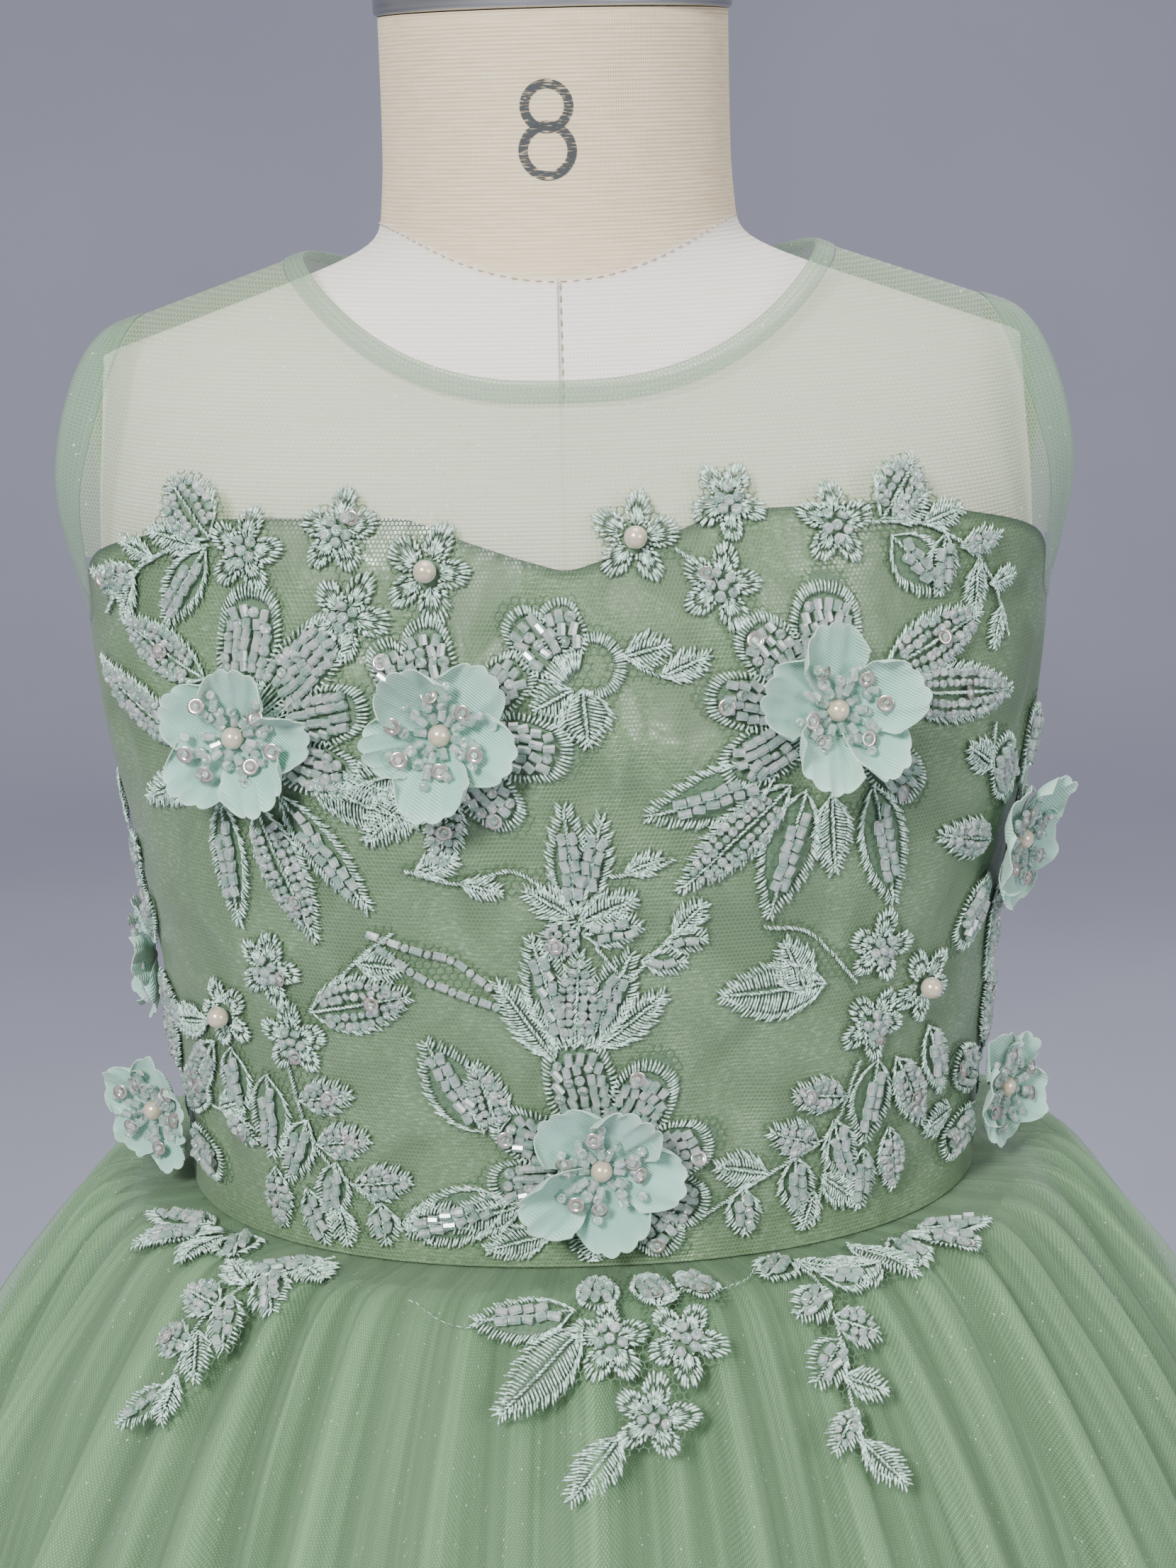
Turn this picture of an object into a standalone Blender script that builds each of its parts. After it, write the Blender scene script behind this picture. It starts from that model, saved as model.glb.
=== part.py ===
"""Girl's pageant dress, size 8, on a limbless dress form with a plain stand.

Metres, +Z up, the front of the dress towards -Y. The origin is the middle of the stand's base, on
the floor. Heights called rise are measured up from the waist seam. An angle round the body is 0 at
centre front, 90 at the wearer's left-hand side as seen from the front (+X) and 180 at centre back.
"""
import math
from collections import namedtuple

import bmesh
import bpy
from mathutils import Vector
from mathutils.geometry import delaunay_2d_cdt

# Heights and the stand
WAIST = 0.790
HEM_CLEARANCE = 0.018
HEM = HEM_CLEARANCE - WAIST
BASE_RADIUS = 0.180
BASE_HEIGHT = 0.022
POLE_RADIUS = 0.0125
TORSO_FOOT = -0.150
NECK_TOP = 0.3192
CAP_HEIGHT = 0.026
CAP_RADIUS = 0.0478

# Cloth
SEAM_GAP = 0.0003
SATIN_WALL = 0.0020
NET_WALL = 0.0010
BAND_WALL = 0.0016
BAND_PROUD = 0.0006
TULLE_WALL = 0.0018
ROUNDNESS = 2.2

# Shoulder line: its height at the neck point, and how it falls to the arm
SHOULDER_START = 0.190
NECK_POINT = 0.069
NECK_POINT_RISE = 0.2585
SHOULDER_FALL = 0.343
FORM_SHOULDER_DROP = 0.0065

# Necklines: lowest point in front and behind, and the width of the folded band
NECKLINE_FRONT = 0.2290
NECKLINE_BACK = 0.2470
NECKLINE_CURVE = {-1: 2.6, 1: 2.2}
NECK_BAND = 0.0053

# Armhole: centre height, half width and half heights of its open edge and of its seam
ARMHOLE_RISE = 0.2030
ARMHOLE_EDGE = (0.0360, 0.0370, 0.0365)
ARMHOLE_SEAM = (0.0450, 0.0401, 0.0437)
YOKE_CORNER_ANGLE = 117.0

# Mesh columns and rows that neighbouring pieces share, so that their seams run side by side
NECK_COLUMNS = 7
SHOULDER_COLUMNS = 5
UNDERARM_COLUMNS = 3
YOKE_ROWS = 6
BODICE_ROWS = 7

# Applique: its gap to the cloth, which the curve of the body needs, and its thickness
PLATE_SEAT = 0.0008
PLATE_THICK = 0.0012
PLATE_SPACING = 0.016
FLOWER_GAP = 0.0007

# Centre back zip
ZIP_HALF_WIDTH = 0.0025
ZIP_PROUD = 0.0008
ZIP_SUNK = 0.0012
ZIP_DEPTH = 0.0885
SLIDER_GAP = 0.0005
SLIDER_RISE = 0.2360
PULL_LENGTH = 0.0170
PULL_WIDTH = 0.0045
PULL_THICK = 0.0009
PULL_GAP = 0.0005
PULL_TOP = 0.0035
SLIDER_WIDTH = 0.0070
SLIDER_LENGTH = 0.0090
SLIDER_THICK = 0.0022

# Gathered over-skirt
GATHERS = 56
COLUMNS_PER_GATHER = 4

Section = namedtuple("Section", "rise half_width front back")
DRESS_SECTIONS = [
    Section(-0.010, 0.1132, 0.0905, 0.0905),
    Section(0.000, 0.1133, 0.0905, 0.0905),
    Section(0.024, 0.1142, 0.0908, 0.0900),
    Section(0.046, 0.1162, 0.0920, 0.0902),
    Section(0.070, 0.1190, 0.0938, 0.0910),
    Section(0.094, 0.1224, 0.0960, 0.0930),
    Section(0.112, 0.1256, 0.0976, 0.0945),
    Section(0.128, 0.1288, 0.0982, 0.0955),
    Section(0.142, 0.1308, 0.0970, 0.0958),
    Section(0.157, 0.1322, 0.0945, 0.0955),
    Section(0.166, 0.1325, 0.0925, 0.0950),
    Section(0.174, 0.1350, 0.0905, 0.0943),
    Section(0.184, 0.1392, 0.0878, 0.0930),
    Section(0.194, 0.1435, 0.0850, 0.0912),
    Section(0.207, 0.1470, 0.0812, 0.0880),
    Section(0.221, 0.1480, 0.0778, 0.0840),
    Section(0.235, 0.1480, 0.0745, 0.0790),
    Section(0.262, 0.1480, 0.0690, 0.0700),
]
FORM_SECTIONS = [
    Section(-0.150, 0.1180, 0.0880, 0.1000),
    Section(-0.140, 0.1240, 0.0925, 0.1050),
    Section(-0.110, 0.1260, 0.0940, 0.1070),
    Section(-0.060, 0.1190, 0.0890, 0.0960),
    Section(-0.020, 0.1085, 0.0850, 0.0845),
    Section(0.000, 0.1070, 0.0845, 0.0835),
    Section(0.024, 0.1082, 0.0850, 0.0835),
    Section(0.070, 0.1140, 0.0890, 0.0862),
    Section(0.112, 0.1212, 0.0932, 0.0898),
    Section(0.142, 0.1270, 0.0926, 0.0912),
    Section(0.166, 0.1285, 0.0885, 0.0906),
    Section(0.190, 0.1280, 0.0830, 0.0890),
    Section(0.215, 0.1262, 0.0752, 0.0815),
    Section(0.235, 0.1255, 0.0705, 0.0745),
    Section(0.262, 0.1255, 0.0645, 0.0645),
    Section(0.290, 0.1255, 0.0580, 0.0580),
]
NeckRing = namedtuple("NeckRing", "rise radius")
NECK_RINGS = [
    NeckRing(0.200, 0.0490),
    NeckRing(0.240, 0.0490),
    NeckRing(0.256, 0.0485),
    NeckRing(0.268, 0.0478),
    NeckRing(0.282, 0.0468),
    NeckRing(0.300, 0.0466),
    NeckRing(0.3192, 0.0466),
]

# Top edge of the satin: sweetheart in front, level behind
SatinEdge = namedtuple("SatinEdge", "angle rise")
SATIN_EDGE = [
    SatinEdge(0, 0.1840),
    SatinEdge(5, 0.1858),
    SatinEdge(16, 0.1912),
    SatinEdge(28, 0.1972),
    SatinEdge(48, 0.1968),
    SatinEdge(60, 0.1918),
    SatinEdge(68, 0.1866),
    SatinEdge(72.5, 0.1805),
    SatinEdge(76, 0.1710),
    SatinEdge(80, 0.1640),
    SatinEdge(85, 0.1597),
    SatinEdge(90, 0.1587),
    SatinEdge(95, 0.1597),
    SatinEdge(100, 0.1640),
    SatinEdge(104, 0.1710),
    SatinEdge(107.5, 0.1790),
    SatinEdge(125, 0.1790),
    SatinEdge(150, 0.1770),
    SatinEdge(180, 0.1760),
]

# Over-skirt profile: how far out from the waist, how far down, how deep the folds, how merged
SkirtRow = namedtuple("SkirtRow", "spread rise fold merge")
SKIRT_ROWS = [
    SkirtRow(0.0000, -0.0003, 0.0010, 0.00),
    SkirtRow(0.0180, 0.0002, 0.0025, 0.00),
    SkirtRow(0.0420, -0.0220, 0.0042, 0.10),
    SkirtRow(0.0950, -0.1200, 0.0075, 0.40),
    SkirtRow(0.3650, HEM, 0.0240, 0.85),
]
CREST_REACH = 1.06
UnderRow = namedtuple("UnderRow", "spread rise fold")
UNDER_ROWS = [
    UnderRow(-0.0034, -0.0003, 0.0000),
    UnderRow(0.0150, -0.0160, 0.0010),
    UnderRow(0.0480, -0.0700, 0.0020),
    UnderRow(0.1160, -0.2350, 0.0040),
    UnderRow(0.2980, HEM + 0.004, 0.0100),
]
UNDER_FOLDS = 12

# Padded flowers: angle round the body, rise, radius, turn of the petals, how far the petals lift
Flower = namedtuple("Flower", "name angle rise radius turn lift")
FLOWERS = [
    Flower("flower_bust_left_outer", -46.5, 0.1430, 0.0175, 10, 0.0060),
    Flower("flower_bust_left_inner", -18.5, 0.1450, 0.0190, 40, 0.0095),
    Flower("flower_bust_right", 37.0, 0.1470, 0.0215, 0, 0.0085),
    Flower("flower_waist_centre", 3.0, 0.0290, 0.0215, 28, 0.0060),
    Flower("flower_waist_left", -80.0, 0.0230, 0.0175, 15, 0.0070),
    Flower("flower_waist_right", 80.0, 0.0230, 0.0180, 50, 0.0070),
    Flower("flower_side_right", 73.0, 0.1000, 0.0200, 33, 0.0080),
    Flower("flower_side_left", -86.0, 0.0640, 0.0170, 5, 0.0065),
]

# Applique groups: each is one piece of corded net, cut round its petals, leaves and stems
Motif = namedtuple("Motif", "across up length width turn")
Group = namedtuple("Group", "name angle rise motifs")
GROUPS = [
    Group("applique_bust_left_outer", -46.5, 0.1430, [
        Motif(0.000, 0.002, 0.036, 0.034, 0),
        Motif(0.004, 0.024, 0.026, 0.013, 80),
        Motif(0.018, 0.020, 0.026, 0.013, 40),
        Motif(0.022, 0.004, 0.024, 0.012, 5),
        Motif(-0.004, -0.024, 0.036, 0.011, 97),
        Motif(0.009, -0.029, 0.044, 0.011, -72),
        Motif(-0.019, 0.018, 0.024, 0.012, 140),
        Motif(-0.019, -0.009, 0.028, 0.011, 205),
        Motif(0.027, 0.0305, 0.0235, 0.0225, 0),
        Motif(0.024, 0.0500, 0.0235, 0.0225, 20),
    ]),
    Group("applique_bust_left_inner", -18.5, 0.1450, [
        Motif(0.000, 0.000, 0.038, 0.036, 0),
        Motif(-0.006, 0.023, 0.026, 0.013, 105),
        Motif(0.011, 0.011, 0.022, 0.013, 42),
        Motif(0.023, -0.004, 0.026, 0.013, -10),
        Motif(0.010, -0.021, 0.026, 0.013, -62),
        Motif(-0.009, -0.022, 0.028, 0.011, 245),
        Motif(-0.016, -0.036, 0.022, 0.008, 240),
        Motif(-0.006, 0.0395, 0.0245, 0.0235, 10),
    ]),
    Group("applique_bust_right", 37.0, 0.1470, [
        Motif(0.000, 0.000, 0.042, 0.040, 0),
        Motif(-0.016, 0.019, 0.028, 0.014, 128),
        Motif(-0.002, 0.022, 0.024, 0.014, 95),
        Motif(-0.024, 0.001, 0.028, 0.013, 178),
        Motif(-0.020, -0.016, 0.028, 0.013, 215),
        Motif(0.016, -0.016, 0.026, 0.013, -45),
        Motif(0.030, 0.000, 0.038, 0.011, -6),
        Motif(0.026, 0.013, 0.032, 0.011, 22),
        Motif(-0.036, -0.027, 0.030, 0.009, 215),
        Motif(-0.013, -0.031, 0.044, 0.011, 250),
        Motif(0.006, -0.031, 0.046, 0.011, -80),
        Motif(-0.025, 0.0325, 0.0230, 0.0220, 0),
        Motif(-0.020, 0.0515, 0.0210, 0.0205, 20),
        Motif(-0.0385, 0.0390, 0.0140, 0.0060, 160),
        Motif(-0.0505, 0.0445, 0.0240, 0.0230, 10),
    ]),
    Group("applique_swirl", 2.0, 0.1590, [
        Motif(0.003, 0.002, 0.016, 0.015, 0),
        Motif(-0.008, 0.009, 0.020, 0.009, 125),
        Motif(0.000, -0.0085, 0.014, 0.010, 270),
        Motif(0.019, 0.001, 0.028, 0.006, -10),
    ]),
    Group("applique_yoke_left", -52.0, 0.1900, [
        Motif(0.0095, -0.0010, 0.0220, 0.0210, 0),
        Motif(-0.0075, 0.0085, 0.0240, 0.0110, 130),
        Motif(-0.0078, -0.0072, 0.0260, 0.0105, 235),
        Motif(-0.0140, -0.0015, 0.0300, 0.0070, 190),
        Motif(-0.0330, -0.0085, 0.0240, 0.0080, 205),
    ]),
    Group("applique_yoke_right", 53.0, 0.1890, [
        Motif(-0.0255, 0.0035, 0.0215, 0.0205, 0),
        Motif(-0.0100, 0.0030, 0.0260, 0.0070, -5),
        Motif(-0.0060, 0.0095, 0.0200, 0.0100, 47),
        Motif(-0.0045, -0.0060, 0.0200, 0.0110, -50),
        Motif(0.0080, -0.0030, 0.0260, 0.0080, -35),
        Motif(0.0190, -0.0100, 0.0150, 0.0070, -36),
    ]),
    Group("applique_waist_centre", 3.0, 0.0290, [
        Motif(0.000, 0.000, 0.042, 0.038, 0),
        Motif(-0.009, 0.026, 0.032, 0.014, 108),
        Motif(0.012, 0.022, 0.026, 0.013, 62),
        Motif(-0.024, 0.010, 0.026, 0.013, 158),
        Motif(-0.025, -0.003, 0.026, 0.012, 185),
        Motif(0.024, -0.002, 0.026, 0.013, -5),
        Motif(-0.042, -0.010, 0.030, 0.009, 195),
        Motif(0.037, -0.007, 0.026, 0.009, -12),
    ]),
    Group("applique_centre", 3.0, 0.1010, [
        Motif(0.000, 0.006, 0.036, 0.009, 90),
        Motif(-0.008, 0.000, 0.026, 0.010, 150),
        Motif(0.008, 0.000, 0.026, 0.010, 30),
        Motif(-0.006, -0.014, 0.030, 0.009, 245),
        Motif(0.006, -0.014, 0.030, 0.009, -65),
        Motif(-0.022, 0.007, 0.020, 0.007, 160),
    ]),
    Group("applique_mid_left", -47.0, 0.0720, [
        Motif(0.000, 0.007, 0.024, 0.022, 0),
        Motif(-0.010, -0.005, 0.024, 0.022, 40),
        Motif(0.009, -0.009, 0.024, 0.022, 70),
        Motif(0.024, 0.004, 0.030, 0.008, 20),
        Motif(-0.006, -0.026, 0.032, 0.010, 255),
        Motif(0.012, -0.030, 0.036, 0.009, -60),
        Motif(-0.022, 0.004, 0.022, 0.009, 160),
    ]),
    Group("applique_mid_right", 47.0, 0.0740, [
        Motif(0.000, 0.006, 0.024, 0.022, 0),
        Motif(0.010, -0.005, 0.024, 0.022, 30),
        Motif(-0.003, -0.014, 0.024, 0.022, 60),
        Motif(-0.022, 0.004, 0.032, 0.009, 165),
        Motif(-0.014, -0.028, 0.034, 0.010, 235),
        Motif(-0.026, -0.036, 0.022, 0.009, 222),
        Motif(0.010, -0.026, 0.028, 0.010, -70),
    ]),
    Group("applique_waist_left", -80.0, 0.0230, [
        Motif(0.000, 0.000, 0.034, 0.032, 0),
        Motif(0.020, 0.010, 0.028, 0.012, 28),
        Motif(0.022, -0.006, 0.028, 0.011, -12),
        Motif(0.038, 0.010, 0.026, 0.008, 8),
        Motif(-0.020, 0.008, 0.024, 0.011, 155),
    ]),
    Group("applique_waist_right", 80.0, 0.0230, [
        Motif(0.000, 0.000, 0.034, 0.032, 0),
        Motif(-0.020, 0.010, 0.028, 0.012, 152),
        Motif(-0.022, -0.006, 0.028, 0.011, 192),
        Motif(-0.033, -0.004, 0.022, 0.009, 184),
        Motif(0.020, 0.008, 0.024, 0.011, 25),
    ]),
    Group("applique_side_right", 73.0, 0.1000, [
        Motif(0.000, 0.000, 0.038, 0.036, 0),
        Motif(-0.006, 0.026, 0.030, 0.012, 105),
        Motif(-0.022, 0.012, 0.026, 0.011, 150),
        Motif(-0.006, -0.026, 0.032, 0.011, 255),
        Motif(0.016, 0.018, 0.024, 0.011, 50),
    ]),
    Group("applique_side_left", -86.0, 0.0640, [
        Motif(0.000, 0.000, 0.034, 0.032, 0),
        Motif(0.010, 0.022, 0.026, 0.011, 65),
        Motif(0.008, 0.040, 0.032, 0.010, 95),
        Motif(0.020, -0.008, 0.024, 0.010, -20),
        Motif(-0.016, 0.014, 0.024, 0.010, 140),
    ]),
]

# Groups on the skirt: angle round the body, and how far down the cloth from the waist seam
SkirtGroup = namedtuple("SkirtGroup", "name angle path motifs")
SKIRT_GROUPS = [
    SkirtGroup("applique_skirt_centre", 4.0, 0.034, [
        Motif(0.000, 0.000, 0.022, 0.021, 0),
        Motif(0.0170, -0.001, 0.022, 0.021, 40),
        Motif(0.0085, -0.014, 0.022, 0.021, 20),
        Motif(-0.020, -0.002, 0.034, 0.010, 172),
        Motif(-0.008, -0.018, 0.030, 0.009, 240),
    ]),
    SkirtGroup("applique_skirt_left", -44.0, 0.044, [
        Motif(0.000, 0.000, 0.050, 0.006, 236),
        Motif(0.015, 0.012, 0.024, 0.008, 14),
        Motif(-0.002, 0.012, 0.024, 0.008, 104),
        Motif(0.008, -0.004, 0.024, 0.008, -20),
        Motif(-0.011, 0.000, 0.024, 0.008, 134),
        Motif(-0.014, -0.020, 0.024, 0.008, 205),
    ]),
    SkirtGroup("applique_skirt_right", 30.0, 0.046, [
        Motif(0.000, 0.000, 0.056, 0.006, -68),
        Motif(-0.014, 0.014, 0.028, 0.009, 168),
        Motif(0.002, 0.014, 0.026, 0.008, 62),
        Motif(-0.009, -0.002, 0.024, 0.008, 196),
        Motif(0.011, 0.000, 0.024, 0.008, 30),
        Motif(0.014, -0.022, 0.024, 0.008, -42),
    ]),
]

def lookup(rows, key, place, field):
    """Smooth value of a field at a place, through a table's rows (cubic, level at both ends)."""
    places = [getattr(row, key) for row in rows]
    values = [getattr(row, field) for row in rows]
    if place <= places[0]:
        return values[0]
    if place >= places[-1]:
        return values[-1]
    i = max(k for k, p in enumerate(places) if p <= place)

    def slope(k):
        if k in (0, len(rows) - 1):
            return 0.0
        left = (values[k] - values[k - 1])/(places[k] - places[k - 1])
        right = (values[k + 1] - values[k])/(places[k + 1] - places[k])
        return 0.0 if left*right <= 0 else 2*left*right/(left + right)

    step = places[i + 1] - places[i]
    t = (place - places[i])/step
    rise = values[i + 1] - values[i]
    start, end = slope(i)*step, slope(i + 1)*step
    return values[i] + start*t + (3*rise - 2*start - end)*t*t + (start + end - 2*rise)*t**3


def shoulder_rise(x):
    return NECK_POINT_RISE - SHOULDER_FALL*(abs(x) - NECK_POINT)


def depth(sections, x, rise, side, out=0.0, drop=0.0):
    """Distance of the body's surface from the side plane; side is -1 in front and 1 behind."""
    half = lookup(sections, "rise", rise, "half_width") + out
    reach = lookup(sections, "rise", rise, "front" if side < 0 else "back") + out
    across = min(1.0, abs(x)/half)
    y = reach*(1 - across**ROUNDNESS)**(1/ROUNDNESS)
    if rise > SHOULDER_START:
        top = max(shoulder_rise(x) - drop + out, SHOULDER_START + 1e-6)
        climb = min(1.0, (rise - SHOULDER_START)/(top - SHOULDER_START))
        y *= (1 - climb**ROUNDNESS)**(1/ROUNDNESS)
    return y


def bisect(is_inside, low, high):
    """The largest value between low and high that is still inside."""
    for _ in range(36):
        middle = (low + high)/2
        if is_inside(middle):
            low = middle
        else:
            high = middle
    return low


def body_point(sections, degrees, rise, out=0.0, drop=0.0):
    """Point of the body's surface at an angle round it and a height."""
    angle = math.radians(degrees)
    dx, dy = math.sin(angle), -math.cos(angle)
    side = -1 if dy < 0 else 1
    radius = bisect(lambda r: r*abs(dy) < depth(sections, r*dx, rise, side, out, drop), 0.0, 0.30)
    if abs(dy) < 1e-6:
        radius = bisect(lambda r: depth(sections, r, rise, side, out, drop) > 1e-6, 0.0, 0.30)
    return Vector((radius*dx, radius*dy, WAIST + rise))


def dress_frame(degrees, rise):
    """Point of the dress with its unit vectors along the hem, up the cloth and out of it."""
    point = body_point(DRESS_SECTIONS, degrees, rise)
    across = body_point(DRESS_SECTIONS, degrees + 0.5, rise) - body_point(DRESS_SECTIONS, degrees - 0.5, rise)
    up = body_point(DRESS_SECTIONS, degrees, rise + 0.002) - body_point(DRESS_SECTIONS, degrees, rise - 0.002)
    out = across.cross(up)
    return point, across.normalized(), up.normalized(), out.normalized()


def armhole_loop(turn, axes, hand):
    """Point of an armhole's edge or seam; turn is 0 at the shoulder, 90 in front, 180 below."""
    half_width, upper, lower = axes
    y = -half_width*math.sin(math.radians(turn))
    height = math.cos(math.radians(turn))
    rise = ARMHOLE_RISE + (upper if height > 0 else lower)*height
    side = -1 if y < 0 else 1
    x = bisect(lambda v: depth(DRESS_SECTIONS, v, rise, side) > abs(y) + 1e-7, 0.0, 0.16)
    return Vector((hand*x, y, WAIST + rise))


def neckline(across, reach, side):
    """Flat place (x, rise) on the neckline; across runs -1 to 1, reach 0 is the open edge."""
    half = NECK_POINT + NECK_BAND*reach
    low = (NECKLINE_FRONT if side < 0 else NECKLINE_BACK) - NECK_BAND*reach
    x = half*math.sin(across*math.pi/2)
    climb = abs(math.sin(across*math.pi/2))**NECKLINE_CURVE[side]
    return x, low + (shoulder_rise(half) - low)*climb


def satin_top(degrees):
    return lookup(SATIN_EDGE, "angle", abs(degrees), "rise")


def new_collection(name):
    collection = bpy.data.collections.new(name)
    bpy.context.scene.collection.children.link(collection)
    return collection


def material(name, colour, roughness, metallic=0.0):
    mat = bpy.data.materials.new(name)
    mat.use_nodes = True
    shader = mat.node_tree.nodes["Principled BSDF"]
    shader.inputs["Base Color"].default_value = (*colour, 1.0)
    shader.inputs["Roughness"].default_value = roughness
    shader.inputs["Metallic"].default_value = metallic
    mat.diffuse_color = (*colour, 1.0)
    return mat


def finish(bm, name, mat, smooth_angle=50):
    """Turns a bmesh into a named object in the dress's collection."""
    bmesh.ops.recalc_face_normals(bm, faces=bm.faces[:])
    if bm.calc_volume(signed=True) < 0:
        bmesh.ops.reverse_faces(bm, faces=bm.faces[:])
    mesh = bpy.data.meshes.new(name)
    bm.to_mesh(mesh)
    bm.free()
    mesh.materials.append(mat)
    mesh.shade_smooth()
    mesh.set_sharp_from_angle(angle=math.radians(smooth_angle))
    obj = bpy.data.objects.new(name, mesh)
    PARTS.objects.link(obj)
    return obj


def wall(name, columns, rows, place, mat):
    """A cloth wall: a grid with thickness, whose points are placed by place(u, v, layer)."""
    bm = bmesh.new()
    bmesh.ops.create_grid(bm, x_segments=columns, y_segments=rows, size=0.5)
    thick = bmesh.ops.extrude_face_region(bm, geom=bm.faces[:])
    for v in thick["geom"]:
        if isinstance(v, bmesh.types.BMVert):
            v.co.z = 1.0
    for v in bm.verts:
        v.co = place(v.co.x + 0.5, v.co.y + 0.5, round(v.co.z))
    return finish(bm, name, mat)


def turned(name, profile, segments, mat):
    """A round solid from its outer profile, top to bottom, closed on the axis at both ends."""
    mesh = bpy.data.meshes.new(name)
    edges = [(i, i + 1) for i in range(len(profile) - 1)]
    mesh.from_pydata([(r, 0, z) for r, z in profile], edges, [])
    mesh.materials.append(mat)
    obj = bpy.data.objects.new(name, mesh)
    PARTS.objects.link(obj)
    screw = obj.modifiers.new("Turn", "SCREW")
    screw.steps = screw.render_steps = segments
    screw.use_merge_vertices = True
    screw.merge_threshold = 0.00001
    return obj


def lerp(a, b, t):
    return a + (b - a)*t


def build_form():
    """Canvas torso and neck, the neck cap and the stand."""
    canvas = material("linen_canvas", (0.72, 0.68, 0.60), 0.9)
    metal = material("satin_metal", (0.55, 0.56, 0.57), 0.35, 1.0)
    iron = material("painted_iron", (0.16, 0.16, 0.17), 0.5)
    rings = [TORSO_FOOT, -0.142, -0.115, -0.06, -0.01, 0.03, 0.07, 0.112, 0.142, 0.17, 0.195,
             0.215, 0.230, 0.241, 0.248, 0.254, 0.260, 0.268, 0.282, NECK_TOP]
    segments = 24
    bm = bmesh.new()
    bmesh.ops.create_circle(bm, segments=segments, radius=1.0, cap_ends=True)
    ends = [v for v in bm.verts]
    loops = [ends]
    edges = bm.edges[:]
    for _ in rings[1:]:
        new = bmesh.ops.extrude_edge_only(bm, edges=edges)["geom"]
        edges = [e for e in new if isinstance(e, bmesh.types.BMEdge)]
        loops.append([v for v in new if isinstance(v, bmesh.types.BMVert)])
    bmesh.ops.edgeloop_fill(bm, edges=edges)
    for rise, loop in zip(rings, loops):
        neck = lookup(NECK_RINGS, "rise", rise, "radius")
        for v in loop:
            degrees = math.degrees(math.atan2(v.co.x, -v.co.y))
            chest = body_point(FORM_SECTIONS, degrees, rise, drop=FORM_SHOULDER_DROP)
            radius = math.hypot(chest.x, chest.y)
            if rise > SHOULDER_START:
                radius = (max(radius, 0.001)**8 + neck**8)**(1/8)
            v.co = Vector((radius*math.sin(math.radians(degrees)),
                           -radius*math.cos(math.radians(degrees)), WAIST + rise))
    finish(bm, "form_torso", canvas, 60)

    cap_foot = WAIST + NECK_TOP + SEAM_GAP
    cap_top = cap_foot + CAP_HEIGHT
    turned("form_neck_cap", [(0, cap_top), (0.030, cap_top - 0.002), (0.042, cap_top - 0.006),
                             (0.0465, cap_top - 0.013), (CAP_RADIUS, cap_foot + 0.002),
                             (CAP_RADIUS - 0.0004, cap_foot), (0, cap_foot)], 28, metal)
    pole_foot = BASE_HEIGHT + SEAM_GAP
    pole_top = WAIST + TORSO_FOOT - SEAM_GAP
    turned("form_pole", [(0, pole_top), (0.045, pole_top), (0.045, pole_top - 0.006),
                         (POLE_RADIUS, pole_top - 0.010), (POLE_RADIUS, pole_foot + 0.012),
                         (0.028, pole_foot + 0.006), (0.028, pole_foot), (0, pole_foot)], 20, iron)
    turned("form_base", [(0, BASE_HEIGHT), (0.040, BASE_HEIGHT), (BASE_RADIUS - 0.030, 0.015),
                         (BASE_RADIUS - 0.004, 0.010), (BASE_RADIUS, 0.006), (BASE_RADIUS, 0.0),
                         (0, 0.0)], 28, iron)


def yoke_columns(side):
    """Mesh columns from centre to armhole: angle on the satin edge, place on the neckline, on the
    shoulder seam. The front starts at the centre line, the back beside the zip."""
    corner = armhole_loop(YOKE_CORNER_ANGLE, SEAM_AXES, 1)
    last = math.degrees(math.atan2(corner.x, abs(corner.y)))
    middle = ZIP_HALF_WIDTH + SEAM_GAP
    first = 0.0 if side < 0 else math.degrees(middle/ZIP_DEPTH)
    neck_first = 0.0 if side < 0 else math.asin(middle/NECK_POINT)/(math.pi/2)
    count = NECK_COLUMNS + SHOULDER_COLUMNS
    columns = []
    for k in range(count + 1):
        degrees = lerp(first, last, k/count)
        neck = lerp(neck_first, 1.0, min(1.0, k/NECK_COLUMNS))
        shoulder = max(0.0, (k - NECK_COLUMNS)/SHOULDER_COLUMNS)
        columns.append((degrees, neck, shoulder))
    return columns


def bodice_panel(name, angles, mat):
    """Satin panel between its first and last angle, from the waist seam to the satin's top edge."""
    def place(u, v, layer):
        degrees = angles[round(u*(len(angles) - 1))]
        rise = lerp(SEAM_GAP/2, satin_top(degrees), v)
        return body_point(DRESS_SECTIONS, degrees, rise, out=-SATIN_WALL*(1 - layer))

    return wall(name, len(angles) - 1, BODICE_ROWS, place, mat)


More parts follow.
